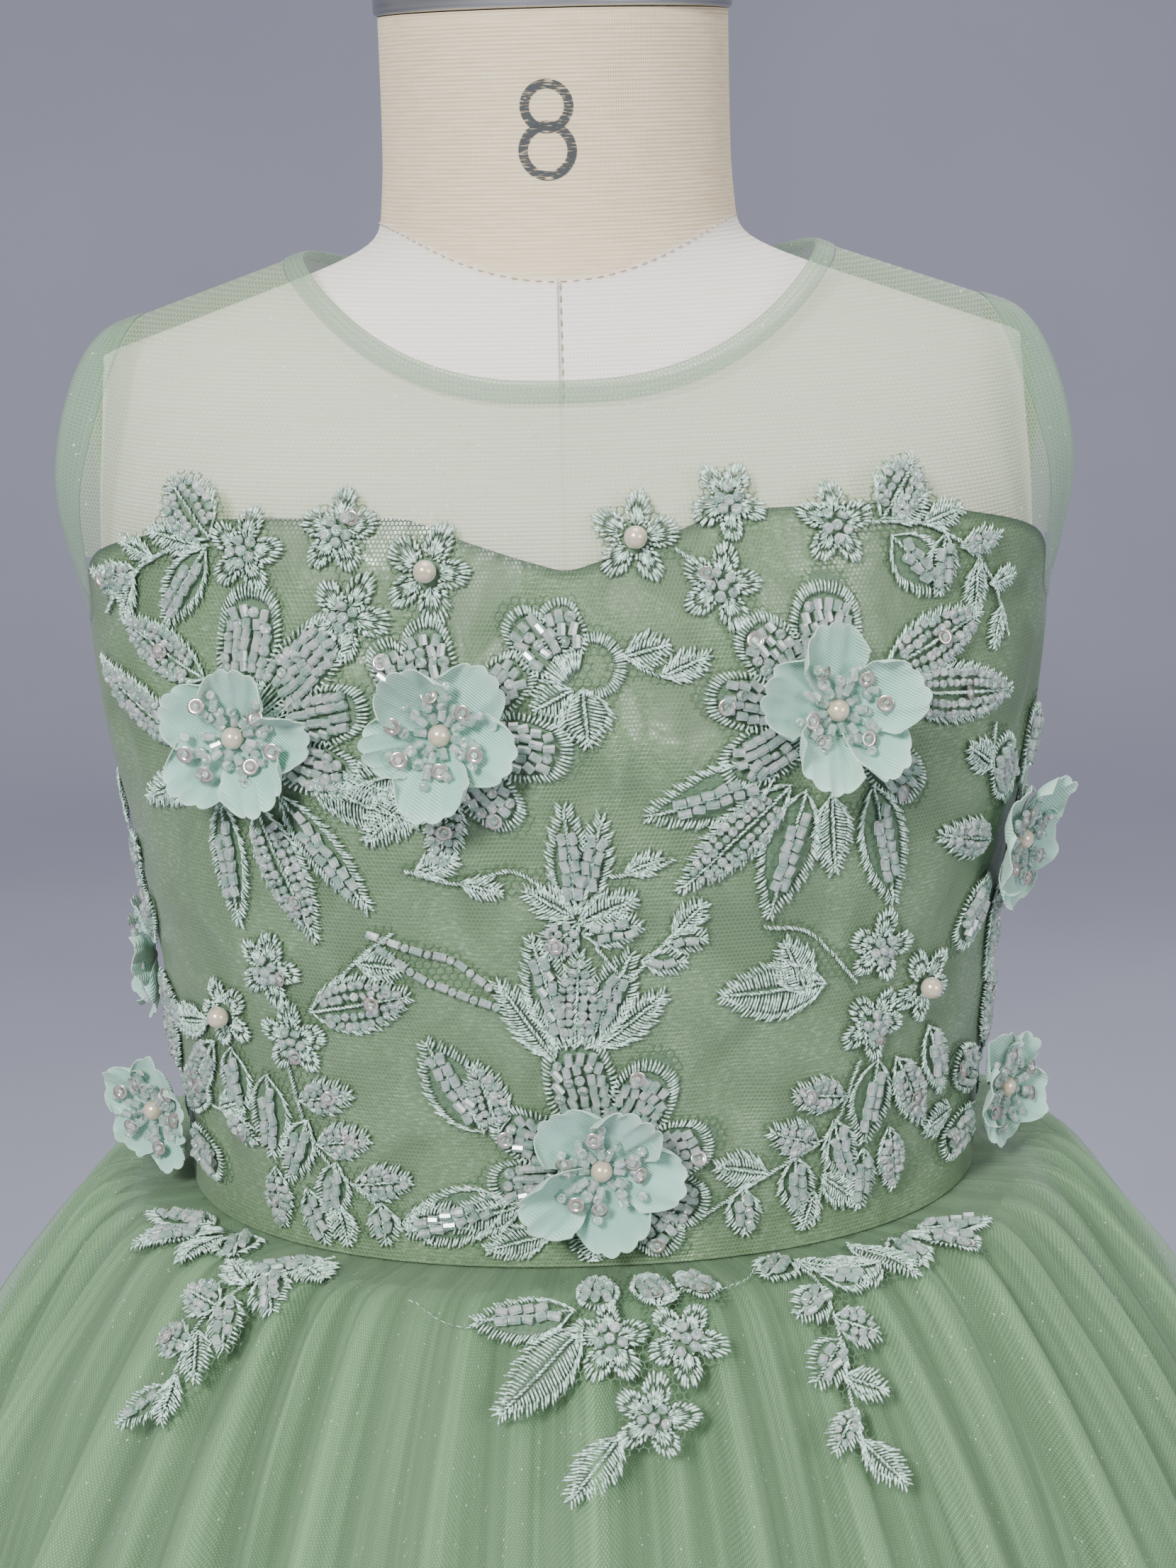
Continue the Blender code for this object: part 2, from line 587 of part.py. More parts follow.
def yoke_place(side, columns):
    """Placing rule of a net yoke piece, whose columns are signed by the side of the body."""
    corner = armhole_loop(YOKE_CORNER_ANGLE, SEAM_AXES, 1)
    shoulder_end = armhole_loop(0, SEAM_AXES, 1).x
    reach = 1 + SEAM_GAP/NECK_BAND

    def ends(column):
        degrees, neck, shoulder = column
        if shoulder > 0:
            x = lerp(NECK_POINT + NECK_BAND*reach, shoulder_end, shoulder)
            top = (x, shoulder_rise(x))
        else:
            top = neckline(neck, reach, side)
        facing = degrees if side < 0 else 180 - degrees
        rise = satin_top(facing) + SEAM_GAP
        if column is columns[-1][1]:
            rise = corner.z - WAIST
        low = body_point(DRESS_SECTIONS, facing, rise)
        return (abs(low.x), rise), top

    def place(u, v, layer):
        hand, column = columns[round(u*(len(columns) - 1))]
        climb = math.sin(v*math.pi/2)
        low, top = ends(column)
        low_end, top_end = ends(columns[-1][1])
        rim = armhole_loop(YOKE_CORNER_ANGLE*(1 - climb), SEAM_AXES, 1)
        share = (column[0]/columns[-1][1][0])**4
        x = lerp(low[0], top[0], climb) + share*(rim.x - lerp(low_end[0], top_end[0], climb))
        rise = lerp(low[1], top[1], climb) + share*(rim.z - WAIST - lerp(low_end[1], top_end[1], climb))
        y = max(depth(DRESS_SECTIONS, x, rise, side), SEAM_GAP/2)
        normal = outward(x, rise, side, hand)
        normal.z *= min(1.0, v*YOKE_ROWS/2)
        return Vector((hand*x, side*y, WAIST + rise)) - normal.normalized()*NET_WALL*(1 - layer)

    return place


def outward(x, rise, side, hand):
    """Unit vector out of the dress at a flat place, level across the shoulder seam."""
    step = 0.0015
    y = depth(DRESS_SECTIONS, x, rise, side)
    slope_x = (depth(DRESS_SECTIONS, x + step, rise, side) - depth(DRESS_SECTIONS, x - step, rise, side))/(2*step)
    slope_z = (depth(DRESS_SECTIONS, x, rise + step, side) - depth(DRESS_SECTIONS, x, rise - step, side))/(2*step)
    normal = Vector((-slope_x*hand, side, -slope_z))
    if y < 0.004:
        normal.y *= y/0.004
    return normal.normalized()


def build_yoke():
    """Sheer net over shoulders and upper chest, and the folded bands at neck and armholes."""
    net = material("cream_green_net", (0.66, 0.71, 0.60), 0.8)
    band = material("folded_net", (0.42, 0.55, 0.40), 0.8)
    front, back = yoke_columns(-1), yoke_columns(1)
    sheets = (("yoke_front", -1, [(-1, c) for c in reversed(front[1:])] + [(1, c) for c in front]),
              ("yoke_back_left", 1, [(-1, c) for c in back]),
              ("yoke_back_right", 1, [(1, c) for c in back]))
    for name, side, columns in sheets:
        wall(name, len(columns) - 1, YOKE_ROWS, yoke_place(side, columns), net)

    def band_place(side, shares):
        def place(u, v, layer):
            x, rise = neckline(shares[round(u*(len(shares) - 1))], 1 - v, side)
            y = max(depth(DRESS_SECTIONS, abs(x), rise, side), SEAM_GAP/2)
            lift = BAND_PROUD if layer else BAND_PROUD - BAND_WALL
            return Vector((x, side*y, WAIST + rise)) + outward(abs(x), rise, side, math.copysign(1, x))*lift
        return place

    front_shares = [c[1] for c in front[:NECK_COLUMNS + 1]]
    back_shares = [c[1] for c in back[:NECK_COLUMNS + 1]]
    bands = (("neckband_front", -1, [-c for c in reversed(front_shares[1:])] + front_shares),
             ("neckband_back_left", 1, [-c for c in back_shares]),
             ("neckband_back_right", 1, back_shares))
    for name, side, shares in bands:
        wall(name, len(shares) - 1, 1, band_place(side, shares), band)

    for hand, name in ((-1, "armband_left"), (1, "armband_right")):
        build_armband(name, hand, band)


def build_armband(name, hand, mat):
    """Folded net band: a closed ring between the armhole's seam and its open edge."""
    climbs = [math.sin(k/YOKE_ROWS*math.pi/2) for k in range(YOKE_ROWS + 1)]
    front = [YOKE_CORNER_ANGLE*(1 - climb) for climb in reversed(climbs)]
    below = [lerp(YOKE_CORNER_ANGLE, 360 - YOKE_CORNER_ANGLE, k/8) for k in range(1, 8)]
    turns = front + below + [360 - turn for turn in reversed(front[1:])]
    bm = bmesh.new()
    rings = []
    for turn in turns:
        corners = []
        sunk = BAND_PROUD - BAND_WALL
        for axes, lift in ((ARMHOLE_SEAM, BAND_PROUD), (ARMHOLE_EDGE, BAND_PROUD),
                           (ARMHOLE_EDGE, sunk), (ARMHOLE_SEAM, sunk)):
            point = armhole_loop(turn, axes, hand)
            side = -1 if point.y < 0 else 1
            corners.append(point + outward(abs(point.x), point.z - WAIST, side, hand)*lift)
        rings.append([bm.verts.new(p) for p in corners])
    for ring, ahead in zip(rings, rings[1:] + rings[:1]):
        for i in range(4):
            j = (i + 1) % 4
            bm.faces.new((ring[i], ahead[i], ahead[j], ring[j]))
    return finish(bm, name, mat)


def build_bodice():
    """Satin bodice: one front, two backs, with side seams and the zip's opening between the backs."""
    satin = material("sage_satin", (0.33, 0.42, 0.30), 0.4)
    seam = 90 - math.degrees(SEAM_GAP/2/0.12)
    front = [c[0] for c in yoke_columns(-1)]
    front += [lerp(front[-1], seam, k/UNDERARM_COLUMNS) for k in range(1, UNDERARM_COLUMNS + 1)]
    back = [c[0] for c in yoke_columns(1)]
    back += [lerp(back[-1], seam, k/UNDERARM_COLUMNS) for k in range(1, UNDERARM_COLUMNS + 1)]
    bodice_panel("bodice_front", [-a for a in reversed(front[1:])] + front, satin)
    bodice_panel("bodice_back_left", [a - 180 for a in back], satin)
    bodice_panel("bodice_back_right", [180 - a for a in back], satin)


def waist_point(turns, spread):
    """Point at a distance out from the waist, at a part of a full turn from centre front."""
    degrees = (turns*360 + 180) % 360 - 180
    point = body_point(DRESS_SECTIONS, degrees, 0.0)
    return point + Vector((math.sin(math.radians(degrees)), -math.cos(math.radians(degrees)), 0))*spread


def profile_inward(rows, i):
    """Unit vector square to a skirt's profile at a row, towards the body and down."""
    along = Vector((0, 0))
    for a, b in ((i - 1, i), (i, i + 1)):
        if 0 <= a and b < len(rows):
            along += Vector((rows[b].spread - rows[a].spread, rows[b].rise - rows[a].rise)).normalized()
    along.normalize()
    return Vector((along.y, -along.x))


def fold_size(turns):
    """Share by which the gathers swell and shrink round the waist."""
    return 1 + 0.25*math.sin(turns*GATHERS*2*math.pi/7 + 0.6)


def skirt_point(turns, v, layer, tangent_gap):
    """Point of the gathered tulle; turns is the part of a full turn from centre front."""
    row = v*(len(SKIRT_ROWS) - 1)
    i = min(int(row), len(SKIRT_ROWS) - 2)
    a, b, t = SKIRT_ROWS[i], SKIRT_ROWS[i + 1], row - i
    spread, rise = lerp(a.spread, b.spread, t), lerp(a.rise, b.rise, t)
    fold, merge = lerp(a.fold, b.fold, t), lerp(a.merge, b.merge, t)
    phase = turns*GATHERS*2*math.pi
    uneven = 0.0016*math.sin(phase/8) + 0.0010*math.sin(phase/14 + 1.0)
    place = turns + uneven*math.sin(4*math.pi*turns)**2
    size = fold_size(turns)
    wave = (1 - merge)*math.cos(phase)*size + merge*math.cos(phase/2)*(2 - size)
    inward = profile_inward(SKIRT_ROWS, round(row))*TULLE_WALL*(1 - layer)
    point = waist_point(place, spread + fold*wave + inward.x)
    point.z = WAIST + rise + inward.y
    angle = place*2*math.pi
    return point + Vector((math.cos(angle), math.sin(angle), 0))*tangent_gap


def build_skirt():
    """Gathered tulle over-skirt in three panels, and the green under-skirt in two."""
    tulle = material("sage_tulle", (0.38, 0.48, 0.36), 0.7)
    lining = material("green_lining", (0.26, 0.36, 0.24), 0.6)
    rows = len(SKIRT_ROWS) - 1
    gap = SEAM_GAP/2
    for name, first, last in (("skirt_outer_front", -0.25, 0.25),
                              ("skirt_outer_back_left", -0.5, -0.25),
                              ("skirt_outer_back_right", 0.25, 0.5)):
        def place(u, v, layer, first=first, last=last):
            edge = gap if u < 1e-6 else -gap if u > 1 - 1e-6 else 0.0
            return skirt_point(lerp(first, last, u), 1 - v, layer, edge)
        wall(name, round((last - first)*GATHERS*COLUMNS_PER_GATHER), rows, place, tulle)

    under_rows = len(UNDER_ROWS) - 1
    for name, first, last in (("skirt_under_front", -0.25, 0.25), ("skirt_under_back", 0.25, 0.75)):
        def place_under(u, v, layer, first=first, last=last):
            row = UNDER_ROWS[round((1 - v)*under_rows)]
            turns = lerp(first, last, u)
            angle = turns*2*math.pi
            inward = profile_inward(UNDER_ROWS, round((1 - v)*under_rows))*TULLE_WALL*(1 - layer)
            point = waist_point(turns, row.spread + row.fold*math.cos(angle*UNDER_FOLDS) + inward.x)
            point.z = WAIST + row.rise + inward.y
            edge = gap if u < 1e-6 else -gap if u > 1 - 1e-6 else 0.0
            return point + Vector((math.cos(angle), math.sin(angle), 0))*edge
        wall(name, 24, under_rows, place_under, lining)


def skirt_shell(degrees, path, out):
    """Point just clear of the folds' crests, at a distance down the cloth from the waist seam."""
    for above, below in zip(SKIRT_ROWS[1:], SKIRT_ROWS[2:]):
        length = math.hypot(below.spread - above.spread, below.rise - above.rise)
        if path - SKIRT_ROWS[1].spread <= length or below is SKIRT_ROWS[-1]:
            break
        path -= length
    t = (path - SKIRT_ROWS[1].spread)/length
    level = Vector((below.spread - above.spread, below.rise - above.rise)).normalized()
    merge, size = lerp(above.merge, below.merge, t), fold_size(degrees/360)
    crest = lerp(above.fold, below.fold, t)*((1 - merge)*size + merge*(2 - size))*CREST_REACH
    spread = lerp(above.spread, below.spread, t) + crest
    point = waist_point(degrees/360, spread - level.y*out)
    point.z = WAIST + lerp(above.rise, below.rise, t) + level.x*out
    return point


def motif_outline(motif):
    """Outline of a petal, leaf or rosette: a pointed oval, rounder as it gets wider."""
    points = []
    count = 9 if motif.width > 0.6*motif.length else 6
    turn = math.radians(motif.turn)
    for k in range(count):
        t = 2*math.pi*k/count
        a = motif.length/2*math.cos(t)
        b = motif.width/2*math.sin(t)*(1.0 if count == 9 else 1 + 0.15*math.cos(t))
        points.append(Vector((motif.across + a*math.cos(turn) - b*math.sin(turn),
                              motif.up + a*math.sin(turn) + b*math.cos(turn))))
    return points


def plate(name, motifs, place, mat):
    """One connected piece of applique: the union of its motifs, laid on the cloth by place."""
    points, loops = [], []
    for motif in motifs:
        outline = motif_outline(motif)
        loops.append(list(range(len(points), len(points) + len(outline))))
        points += outline
    reach = max(max(abs(p.x), abs(p.y)) for p in points)
    steps = int(reach/PLATE_SPACING) + 1
    for i in range(-steps, steps + 1):
        for j in range(-steps, steps + 1):
            points.append(Vector((i*PLATE_SPACING + 0.0013, j*PLATE_SPACING + 0.0021)))
    result = delaunay_2d_cdt(points, [], loops, 1, 1e-5)
    verts, faces, owners = result[0], result[2], result[5]
    bm = bmesh.new()
    made = [bm.verts.new((p.x, p.y, 0)) for p in verts]
    for face, owner in zip(faces, owners):
        if owner:
            bm.faces.new([made[i] for i in face])
    loose = [v for v in bm.verts if not v.link_faces]
    bmesh.ops.delete(bm, geom=loose, context="VERTS")
    thick = bmesh.ops.extrude_face_region(bm, geom=bm.faces[:])
    for v in thick["geom"]:
        if isinstance(v, bmesh.types.BMVert):
            v.co.z = 1.0
    for v in bm.verts:
        v.co = place(v.co.x, v.co.y, round(v.co.z))
    return finish(bm, name, mat, 60)


def build_applique():
    """Corded net groups on the bodice and the yoke, and those on the skirt."""
    cord = material("mint_cord", (0.45, 0.60, 0.48), 0.7)
    for group in GROUPS:
        step = (body_point(DRESS_SECTIONS, group.angle + 0.5, group.rise)
                - body_point(DRESS_SECTIONS, group.angle - 0.5, group.rise)).length

        def place(a, b, layer, group=group, step=step):
            point, _, _, out = dress_frame(group.angle + a/step, group.rise + b)
            return point + out*(PLATE_SEAT + PLATE_THICK*layer)
        plate(group.name, group.motifs, place, cord)

    for group in SKIRT_GROUPS:
        radius = skirt_shell(group.angle, group.path, 0).xy.length

        def place_on_skirt(a, b, layer, group=group, radius=radius):
            out = PLATE_SEAT + PLATE_THICK*layer
            return skirt_shell(group.angle + math.degrees(a/radius), group.path - b, out)
        plate(group.name, group.motifs, place_on_skirt, cord)


def build_flowers():
    """Padded flowers: five cupped petals round a pearl, each sewn on at its middle."""
    petal = material("mint_petal", (0.52, 0.68, 0.54), 0.6)
    segments = 20
    rings = (0.22, 0.62, 1.0)
    seat = PLATE_SEAT + PLATE_THICK + FLOWER_GAP
    for flower in FLOWERS:
        centre, across, up, out = dress_frame(flower.angle, flower.rise)
        bm = bmesh.new()
        bmesh.ops.create_circle(bm, cap_ends=True, cap_tris=True, segments=segments, radius=rings[0])
        edges = [e for e in bm.edges if e.is_boundary]
        for inner, outer in zip(rings, rings[1:]):
            grown = bmesh.ops.extrude_edge_only(bm, edges=edges)["geom"]
            edges = [e for e in grown if isinstance(e, bmesh.types.BMEdge)]
            for v in grown:
                if isinstance(v, bmesh.types.BMVert):
                    v.co *= outer/inner
        thick = bmesh.ops.extrude_face_region(bm, geom=bm.faces[:])
        for v in thick["geom"]:
            if isinstance(v, bmesh.types.BMVert):
                v.co.z = 1.0
        for v in bm.verts:
            share = math.hypot(v.co.x, v.co.y)
            phi = math.atan2(v.co.y, v.co.x)
            lobe = abs(math.sin(2.5*phi))**0.7
            radius = flower.radius*share*(1 - 0.28*(1 - lobe)*share)
            height = flower.lift*share**1.6*(0.55 + 0.45*lobe)
            if v.co.z > 0.5:
                height += 0.0014 + 0.0022*max(0.0, 1 - share/rings[0])
            phi += math.radians(flower.turn)
            v.co = (centre + out*(seat + height)
                    + across*radius*math.cos(phi) + up*radius*math.sin(phi))
        finish(bm, flower.name, petal, 70)


def centre_back(rise, step):
    """Point of the centre back line, and the unit vector out of the cloth there."""
    slope = (depth(DRESS_SECTIONS, 0, rise + step, 1) - depth(DRESS_SECTIONS, 0, rise - step, 1))/(2*step)
    point = Vector((0, depth(DRESS_SECTIONS, 0, rise, 1), WAIST + rise))
    return point, Vector((0, 1, -slope)).normalized()


def build_zip():
    """Centre back zip, closed, with its slider and a pull tab that swings on the slider."""
    tape = material("zip_green", (0.30, 0.40, 0.28), 0.6)
    metal = material("zip_metal", (0.60, 0.62, 0.58), 0.3, 1.0)
    top = neckline(0, 0, 1)[1]

    def place(u, v, layer):
        rise = lerp(SEAM_GAP/2, top, v)
        seam, normal = centre_back(rise, 0.001)
        if v < 1e-6:
            normal = Vector((0, 1, 0))
        across = Vector((lerp(ZIP_HALF_WIDTH, -ZIP_HALF_WIDTH, u), 0, 0))
        return seam + across + normal*(ZIP_PROUD if layer else -ZIP_SUNK)
    wall("zip_chain", 1, 16, place, tape)

    seam, out = centre_back(SLIDER_RISE, SLIDER_LENGTH/2)
    up = Vector((0, -out.z, out.y))
    seat = seam + out*(ZIP_PROUD + SLIDER_GAP)

    def block(name, low, high, mat, bevel):
        """Box in the slider's own frame: across, out of the cloth, up the zip."""
        bm = bmesh.new()
        bmesh.ops.create_cube(bm, size=1.0)
        bmesh.ops.bevel(bm, geom=bm.edges[:], offset=bevel, segments=1, affect="EDGES")
        for v in bm.verts:
            share = [v.co[i] + 0.5 for i in range(3)]
            a, b, c = [lerp(low[i], high[i], share[i]) for i in range(3)]
            v.co = seat + Vector((1, 0, 0))*a + out*b + up*c
        return finish(bm, name, mat, 30)

    block("zip_slider", (-SLIDER_WIDTH/2, 0.0, -SLIDER_LENGTH/2),
          (SLIDER_WIDTH/2, SLIDER_THICK, SLIDER_LENGTH/2), metal, 0.12)
    block("zip_pull", (-PULL_WIDTH/2, SLIDER_THICK + PULL_GAP, PULL_TOP - PULL_LENGTH),
          (PULL_WIDTH/2, SLIDER_THICK + PULL_GAP + PULL_THICK, PULL_TOP), metal, 0.08)


for old in list(bpy.data.objects):
    bpy.data.objects.remove(old, do_unlink=True)
PARTS = new_collection("pageant_dress_on_form")
SEAM_AXES = tuple(a + SEAM_GAP for a in ARMHOLE_SEAM)
build_form()
build_bodice()
build_yoke()
build_zip()
build_skirt()
build_applique()
build_flowers()
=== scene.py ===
import math

import bmesh
import bpy
import numpy as np
from mathutils import Matrix, Vector


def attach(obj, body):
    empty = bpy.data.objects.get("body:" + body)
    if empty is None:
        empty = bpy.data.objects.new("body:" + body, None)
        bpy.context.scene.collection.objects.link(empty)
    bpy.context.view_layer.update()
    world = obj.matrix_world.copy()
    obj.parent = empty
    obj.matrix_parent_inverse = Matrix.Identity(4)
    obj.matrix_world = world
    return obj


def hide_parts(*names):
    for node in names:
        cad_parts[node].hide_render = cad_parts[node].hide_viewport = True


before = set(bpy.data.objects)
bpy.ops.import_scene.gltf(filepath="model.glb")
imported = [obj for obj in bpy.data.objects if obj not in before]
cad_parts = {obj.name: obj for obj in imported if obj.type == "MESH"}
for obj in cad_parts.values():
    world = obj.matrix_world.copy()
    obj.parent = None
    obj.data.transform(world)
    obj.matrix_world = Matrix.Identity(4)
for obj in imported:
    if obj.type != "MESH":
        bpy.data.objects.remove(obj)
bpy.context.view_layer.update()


# Dress form: a child's limbless torso and neck in ivory linen canvas, glued and stitched over a
# moulded shell. The neck is a separate tube of canvas, joined at a stitched seam that dips in
# front; a second seam runs down the centre front, and a plain size figure is stencilled above.
BODY = "dress_and_form"
WAIST = 0.790
ROUNDNESS = 2.2
SHOULDER_START = 0.190
NECK_POINT = 0.069
NECK_POINT_RISE = 0.2585
SHOULDER_FALL = 0.343
FORM_SHOULDER_DROP = 0.0065
TORSO_FOOT = -0.150
TORSO_RADIUS = 0.075
NECK_TOP = 0.3192
CANVAS_TAN = (0.76, 0.60, 0.38)
CANVAS_PALE = (0.93, 0.89, 0.86)
INK = (0.045, 0.05, 0.06)
HALVINGS = 26
# rise above the waist, half width, depth in front, depth behind
FORM = np.array([
    (-0.150, 0.1180, 0.0880, 0.1000), (-0.140, 0.1240, 0.0925, 0.1050), (-0.110, 0.1260, 0.0940, 0.1070),
    (-0.060, 0.1190, 0.0890, 0.0960), (-0.020, 0.1085, 0.0850, 0.0845), (0.000, 0.1070, 0.0845, 0.0835),
    (0.024, 0.1082, 0.0850, 0.0835), (0.070, 0.1140, 0.0890, 0.0862), (0.112, 0.1212, 0.0932, 0.0898),
    (0.142, 0.1270, 0.0926, 0.0912), (0.166, 0.1285, 0.0885, 0.0906), (0.190, 0.1280, 0.0830, 0.0890),
    (0.215, 0.1262, 0.0752, 0.0815), (0.235, 0.1255, 0.0705, 0.0745), (0.262, 0.1255, 0.0645, 0.0645),
    (0.290, 0.1255, 0.0580, 0.0580)])
# rise above the waist, radius of the neck
NECK = np.array([(0.200, 0.0490), (0.240, 0.0490), (0.256, 0.0485), (0.268, 0.0478), (0.282, 0.0468),
                 (0.300, 0.0466), (0.3192, 0.0466)])


def smooth_values(places, values, at):
    """Values along a line of places, joined by a smooth curve that never overshoots."""
    step = np.diff(places)
    rate = np.diff(values)/step
    turning = rate[:-1]*rate[1:]
    slope = np.zeros(len(places))
    slope[1:-1] = np.where(turning > 0, 2*turning/np.where(turning > 0, rate[:-1] + rate[1:], 1), 0)
    at = np.clip(at, places[0], places[-1])
    i = np.clip(np.searchsorted(places, at, side="right") - 1, 0, len(places) - 2)
    t = (at - places[i])/step[i]
    gain = values[i + 1] - values[i]
    a, b = slope[i]*step[i], slope[i + 1]*step[i]
    return values[i] + a*t + (3*gain - 2*a - b)*t*t + (a + b - 2*gain)*t**3


def shoulder_rise(x):
    """Height of the shoulder line at a distance from the middle."""
    return NECK_POINT_RISE - SHOULDER_FALL*(x - NECK_POINT)


def body_depth(table, x, rise, side, drop=0.0):
    """How far the body's surface is from the side plane; side is -1 in front and 1 behind."""
    half, front, back = (smooth_values(table[:, 0], table[:, k], rise) for k in (1, 2, 3))
    across = np.minimum(1.0, np.abs(x)/half)
    y = np.where(side < 0, front, back)*(1 - across**ROUNDNESS)**(1/ROUNDNESS)
    top = shoulder_rise(np.abs(x)) - drop
    climb = (rise - SHOULDER_START)/(np.maximum(top, SHOULDER_START + 1e-6) - SHOULDER_START)
    return y*(1 - np.clip(climb, 0, 1)**ROUNDNESS)**(1/ROUNDNESS)


def outermost(shape, furthest, inside):
    """The greatest distances, up to furthest, for which inside(distance) holds."""
    low, high = np.zeros(shape), np.full(shape, furthest)
    for _ in range(HALVINGS):
        middle = (low + high)/2
        held = inside(middle)
        low, high = np.where(held, middle, low), np.where(held, high, middle)
    return low


def body_at(table, degrees, rise, drop=0.0):
    """Points of the body's surface at angles round it (0 is centre front) and heights."""
    degrees, rise = np.broadcast_arrays(np.asarray(degrees, float), np.asarray(rise, float))
    dx, dy = np.sin(np.radians(degrees)), -np.cos(np.radians(degrees))
    side = np.where(dy < 0, -1, 1)
    reach = outermost(degrees.shape, 0.30, lambda middle: body_depth(table, middle*dx, rise, side, drop)
                      > np.maximum(middle*np.abs(dy), 1e-6))
    return np.stack([reach*dx, reach*dy, WAIST + rise], -1)


def unit(vectors):
    return vectors/np.maximum(np.linalg.norm(vectors, axis=-1, keepdims=True), 1e-12)


def path_length(points):
    """Length along a line of points, from its start to each of them."""
    return np.concatenate([[0], np.cumsum(np.linalg.norm(np.diff(points, axis=0), axis=1))])


def add_mesh(name, verts, faces, mat):
    """A smooth mesh object in the scene, from lists of points and faces."""
    mesh = bpy.data.meshes.new(name)
    mesh.from_pydata(verts, [], faces)
    mesh.materials.append(mat)
    mesh.shade_smooth()
    piece = bpy.data.objects.new(name, mesh)
    bpy.context.scene.collection.objects.link(piece)
    return piece


def mark(piece, name, values):
    """Keeps one number for each point of the mesh, which its material reads by name."""
    kept = piece.data.attributes.new(name, "FLOAT", "POINT")
    kept.data.foreach_set("value", np.asarray(values, np.float32).ravel())


def belongs(piece, cad=None, body=BODY):
    """States the body that a piece moves with and the part that it replaces."""
    if cad:
        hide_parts(cad)
    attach(piece, body)


def grid_faces(rows, columns, closed=False):
    """Corners of the squares between rows and columns: their rows, columns and point numbers."""
    i, j = np.meshgrid(np.arange(rows - 1), np.arange(columns - (0 if closed else 1)), indexing="ij")
    i, j = i.ravel(), j.ravel()
    down, along = np.stack([i, i, i + 1, i + 1], -1), np.stack([j, j + 1, j + 1, j], -1)
    return down, along, down*columns + along % columns


def grid_piece(name, points, across, along, mat, closed=False):
    """A smooth sheet through rows of points, with a map in metres: across the cloth, along it."""
    i, j, quads = grid_faces(*points.shape[:2], closed)
    piece = add_mesh(name, points.reshape(-1, 3).tolist(), quads.tolist(), mat)
    chart = piece.data.uv_layers.new(name="cloth")
    chart.data.foreach_set("uv", np.stack([across[i, j], along[i, j]], -1).astype(np.float32).ravel())
    return piece


def node_group(name, outputs, **numbers):
    """An empty shader group that takes a vector and named numbers, given with their defaults."""
    group = bpy.data.node_groups.new(name, "ShaderNodeTree")
    group.interface.new_socket(name="Vector", in_out="INPUT", socket_type="NodeSocketVector")
    for label, default in numbers.items():
        socket = group.interface.new_socket(name=label, in_out="INPUT", socket_type="NodeSocketFloat")
        socket.default_value = default
    for label in outputs:
        group.interface.new_socket(name=label, in_out="OUTPUT", socket_type="NodeSocketFloat")
    return group, group.nodes.new("NodeGroupInput").outputs, group.nodes.new("NodeGroupOutput")


def node(tree, kind, sockets=None, **settings):
    """A shader node with its settings; sockets holds values, or outputs to join to its inputs."""
    made = tree.nodes.new("ShaderNode" + kind)
    for key, value in settings.items():
        setattr(made, key, value)
    for key, value in (sockets or {}).items():
        if isinstance(value, bpy.types.NodeSocket):
            tree.links.new(value, made.inputs[key])
        else:
            made.inputs[key].default_value = value
    return made


def maths(operation, *values, clamp=False):
    tree = next(value.id_data for value in values if isinstance(value, bpy.types.NodeSocket))
    return node(tree, "Math", dict(enumerate(values)), operation=operation, use_clamp=clamp).outputs[0]


def times(a, b):
    return maths("MULTIPLY", a, b)


def ramp(value, first, last, low=0.0, high=1.0):
    """Goes evenly from low to high while value goes from first to last."""
    sockets = {"Value": value, 1: first, 2: last, 3: low, 4: high}
    return node(value.id_data, "MapRange", sockets).outputs[0]


def turned_map(where, turn=0.0, scale=(1.0, 1.0, 1.0)):
    """The same places, stretched, then turned in the flat; turn is in radians."""
    sockets = {0: where, "Rotation": (0, 0, turn), "Scale": scale}
    return node(where.id_data, "Mapping", sockets).outputs[0]


def noise(where, scale, detail=2.0):
    """Soft clouds between 0 and 1; three scales draw them out along an axis."""
    if isinstance(scale, tuple):
        where, scale = turned_map(where, scale=scale), 1.0
    sockets = {"Vector": where, "Scale": scale, "Detail": detail}
    return node(where.id_data, "TexNoise", sockets).outputs["Fac"]


def axes_of(vector):
    """The three parts of a vector or colour."""
    return node(vector.id_data, "SeparateXYZ", {0: vector}).outputs


def cloth_map(tree):
    """The place on the flat cloth, in metres."""
    return node(tree, "UVMap", uv_map="cloth").outputs[0]


def space_map(tree):
    """The place in the object, in metres."""
    return node(tree, "TexCoord").outputs["Object"]


def marked(tree, name):
    """The number that mark() kept for each point."""
    return node(tree, "Attribute", attribute_name=name).outputs["Fac"]


def blend(share, a, b):
    """Colour a where share is 0 and b where it is 1."""
    tree = share.id_data
    mix = node(tree, "Mix", data_type="RGBA")
    for socket, value in ((mix.inputs[0], share), (mix.inputs[6], a), (mix.inputs[7], b)):
        if isinstance(value, bpy.types.NodeSocket):
            tree.links.new(value, socket)
        else:
            socket.default_value = value if isinstance(value, float) else (*value, 1.0)
    return mix.outputs[2]


def shade(colour, share):
    return tuple(c*share for c in colour)


def new_material(name, roughness, metallic=0.0, **uniform):
    """A material with a Principled shader; uniform values go straight to the shader's sockets."""
    mat = bpy.data.materials.new(name)
    mat.use_nodes = True
    shader = mat.node_tree.nodes["Principled BSDF"]
    shader.inputs["Roughness"].default_value = roughness
    shader.inputs["Metallic"].default_value = metallic
    for key, value in uniform.items():
        shader.inputs[key.replace("_", " ")].default_value = value
    return mat, mat.node_tree, shader


def join(made, **outputs):
    """Joins outputs to a node's inputs; a name is written with _ for each space."""
    for key, output in outputs.items():
        made.id_data.links.new(output, made.inputs[key.replace("_", " ")])


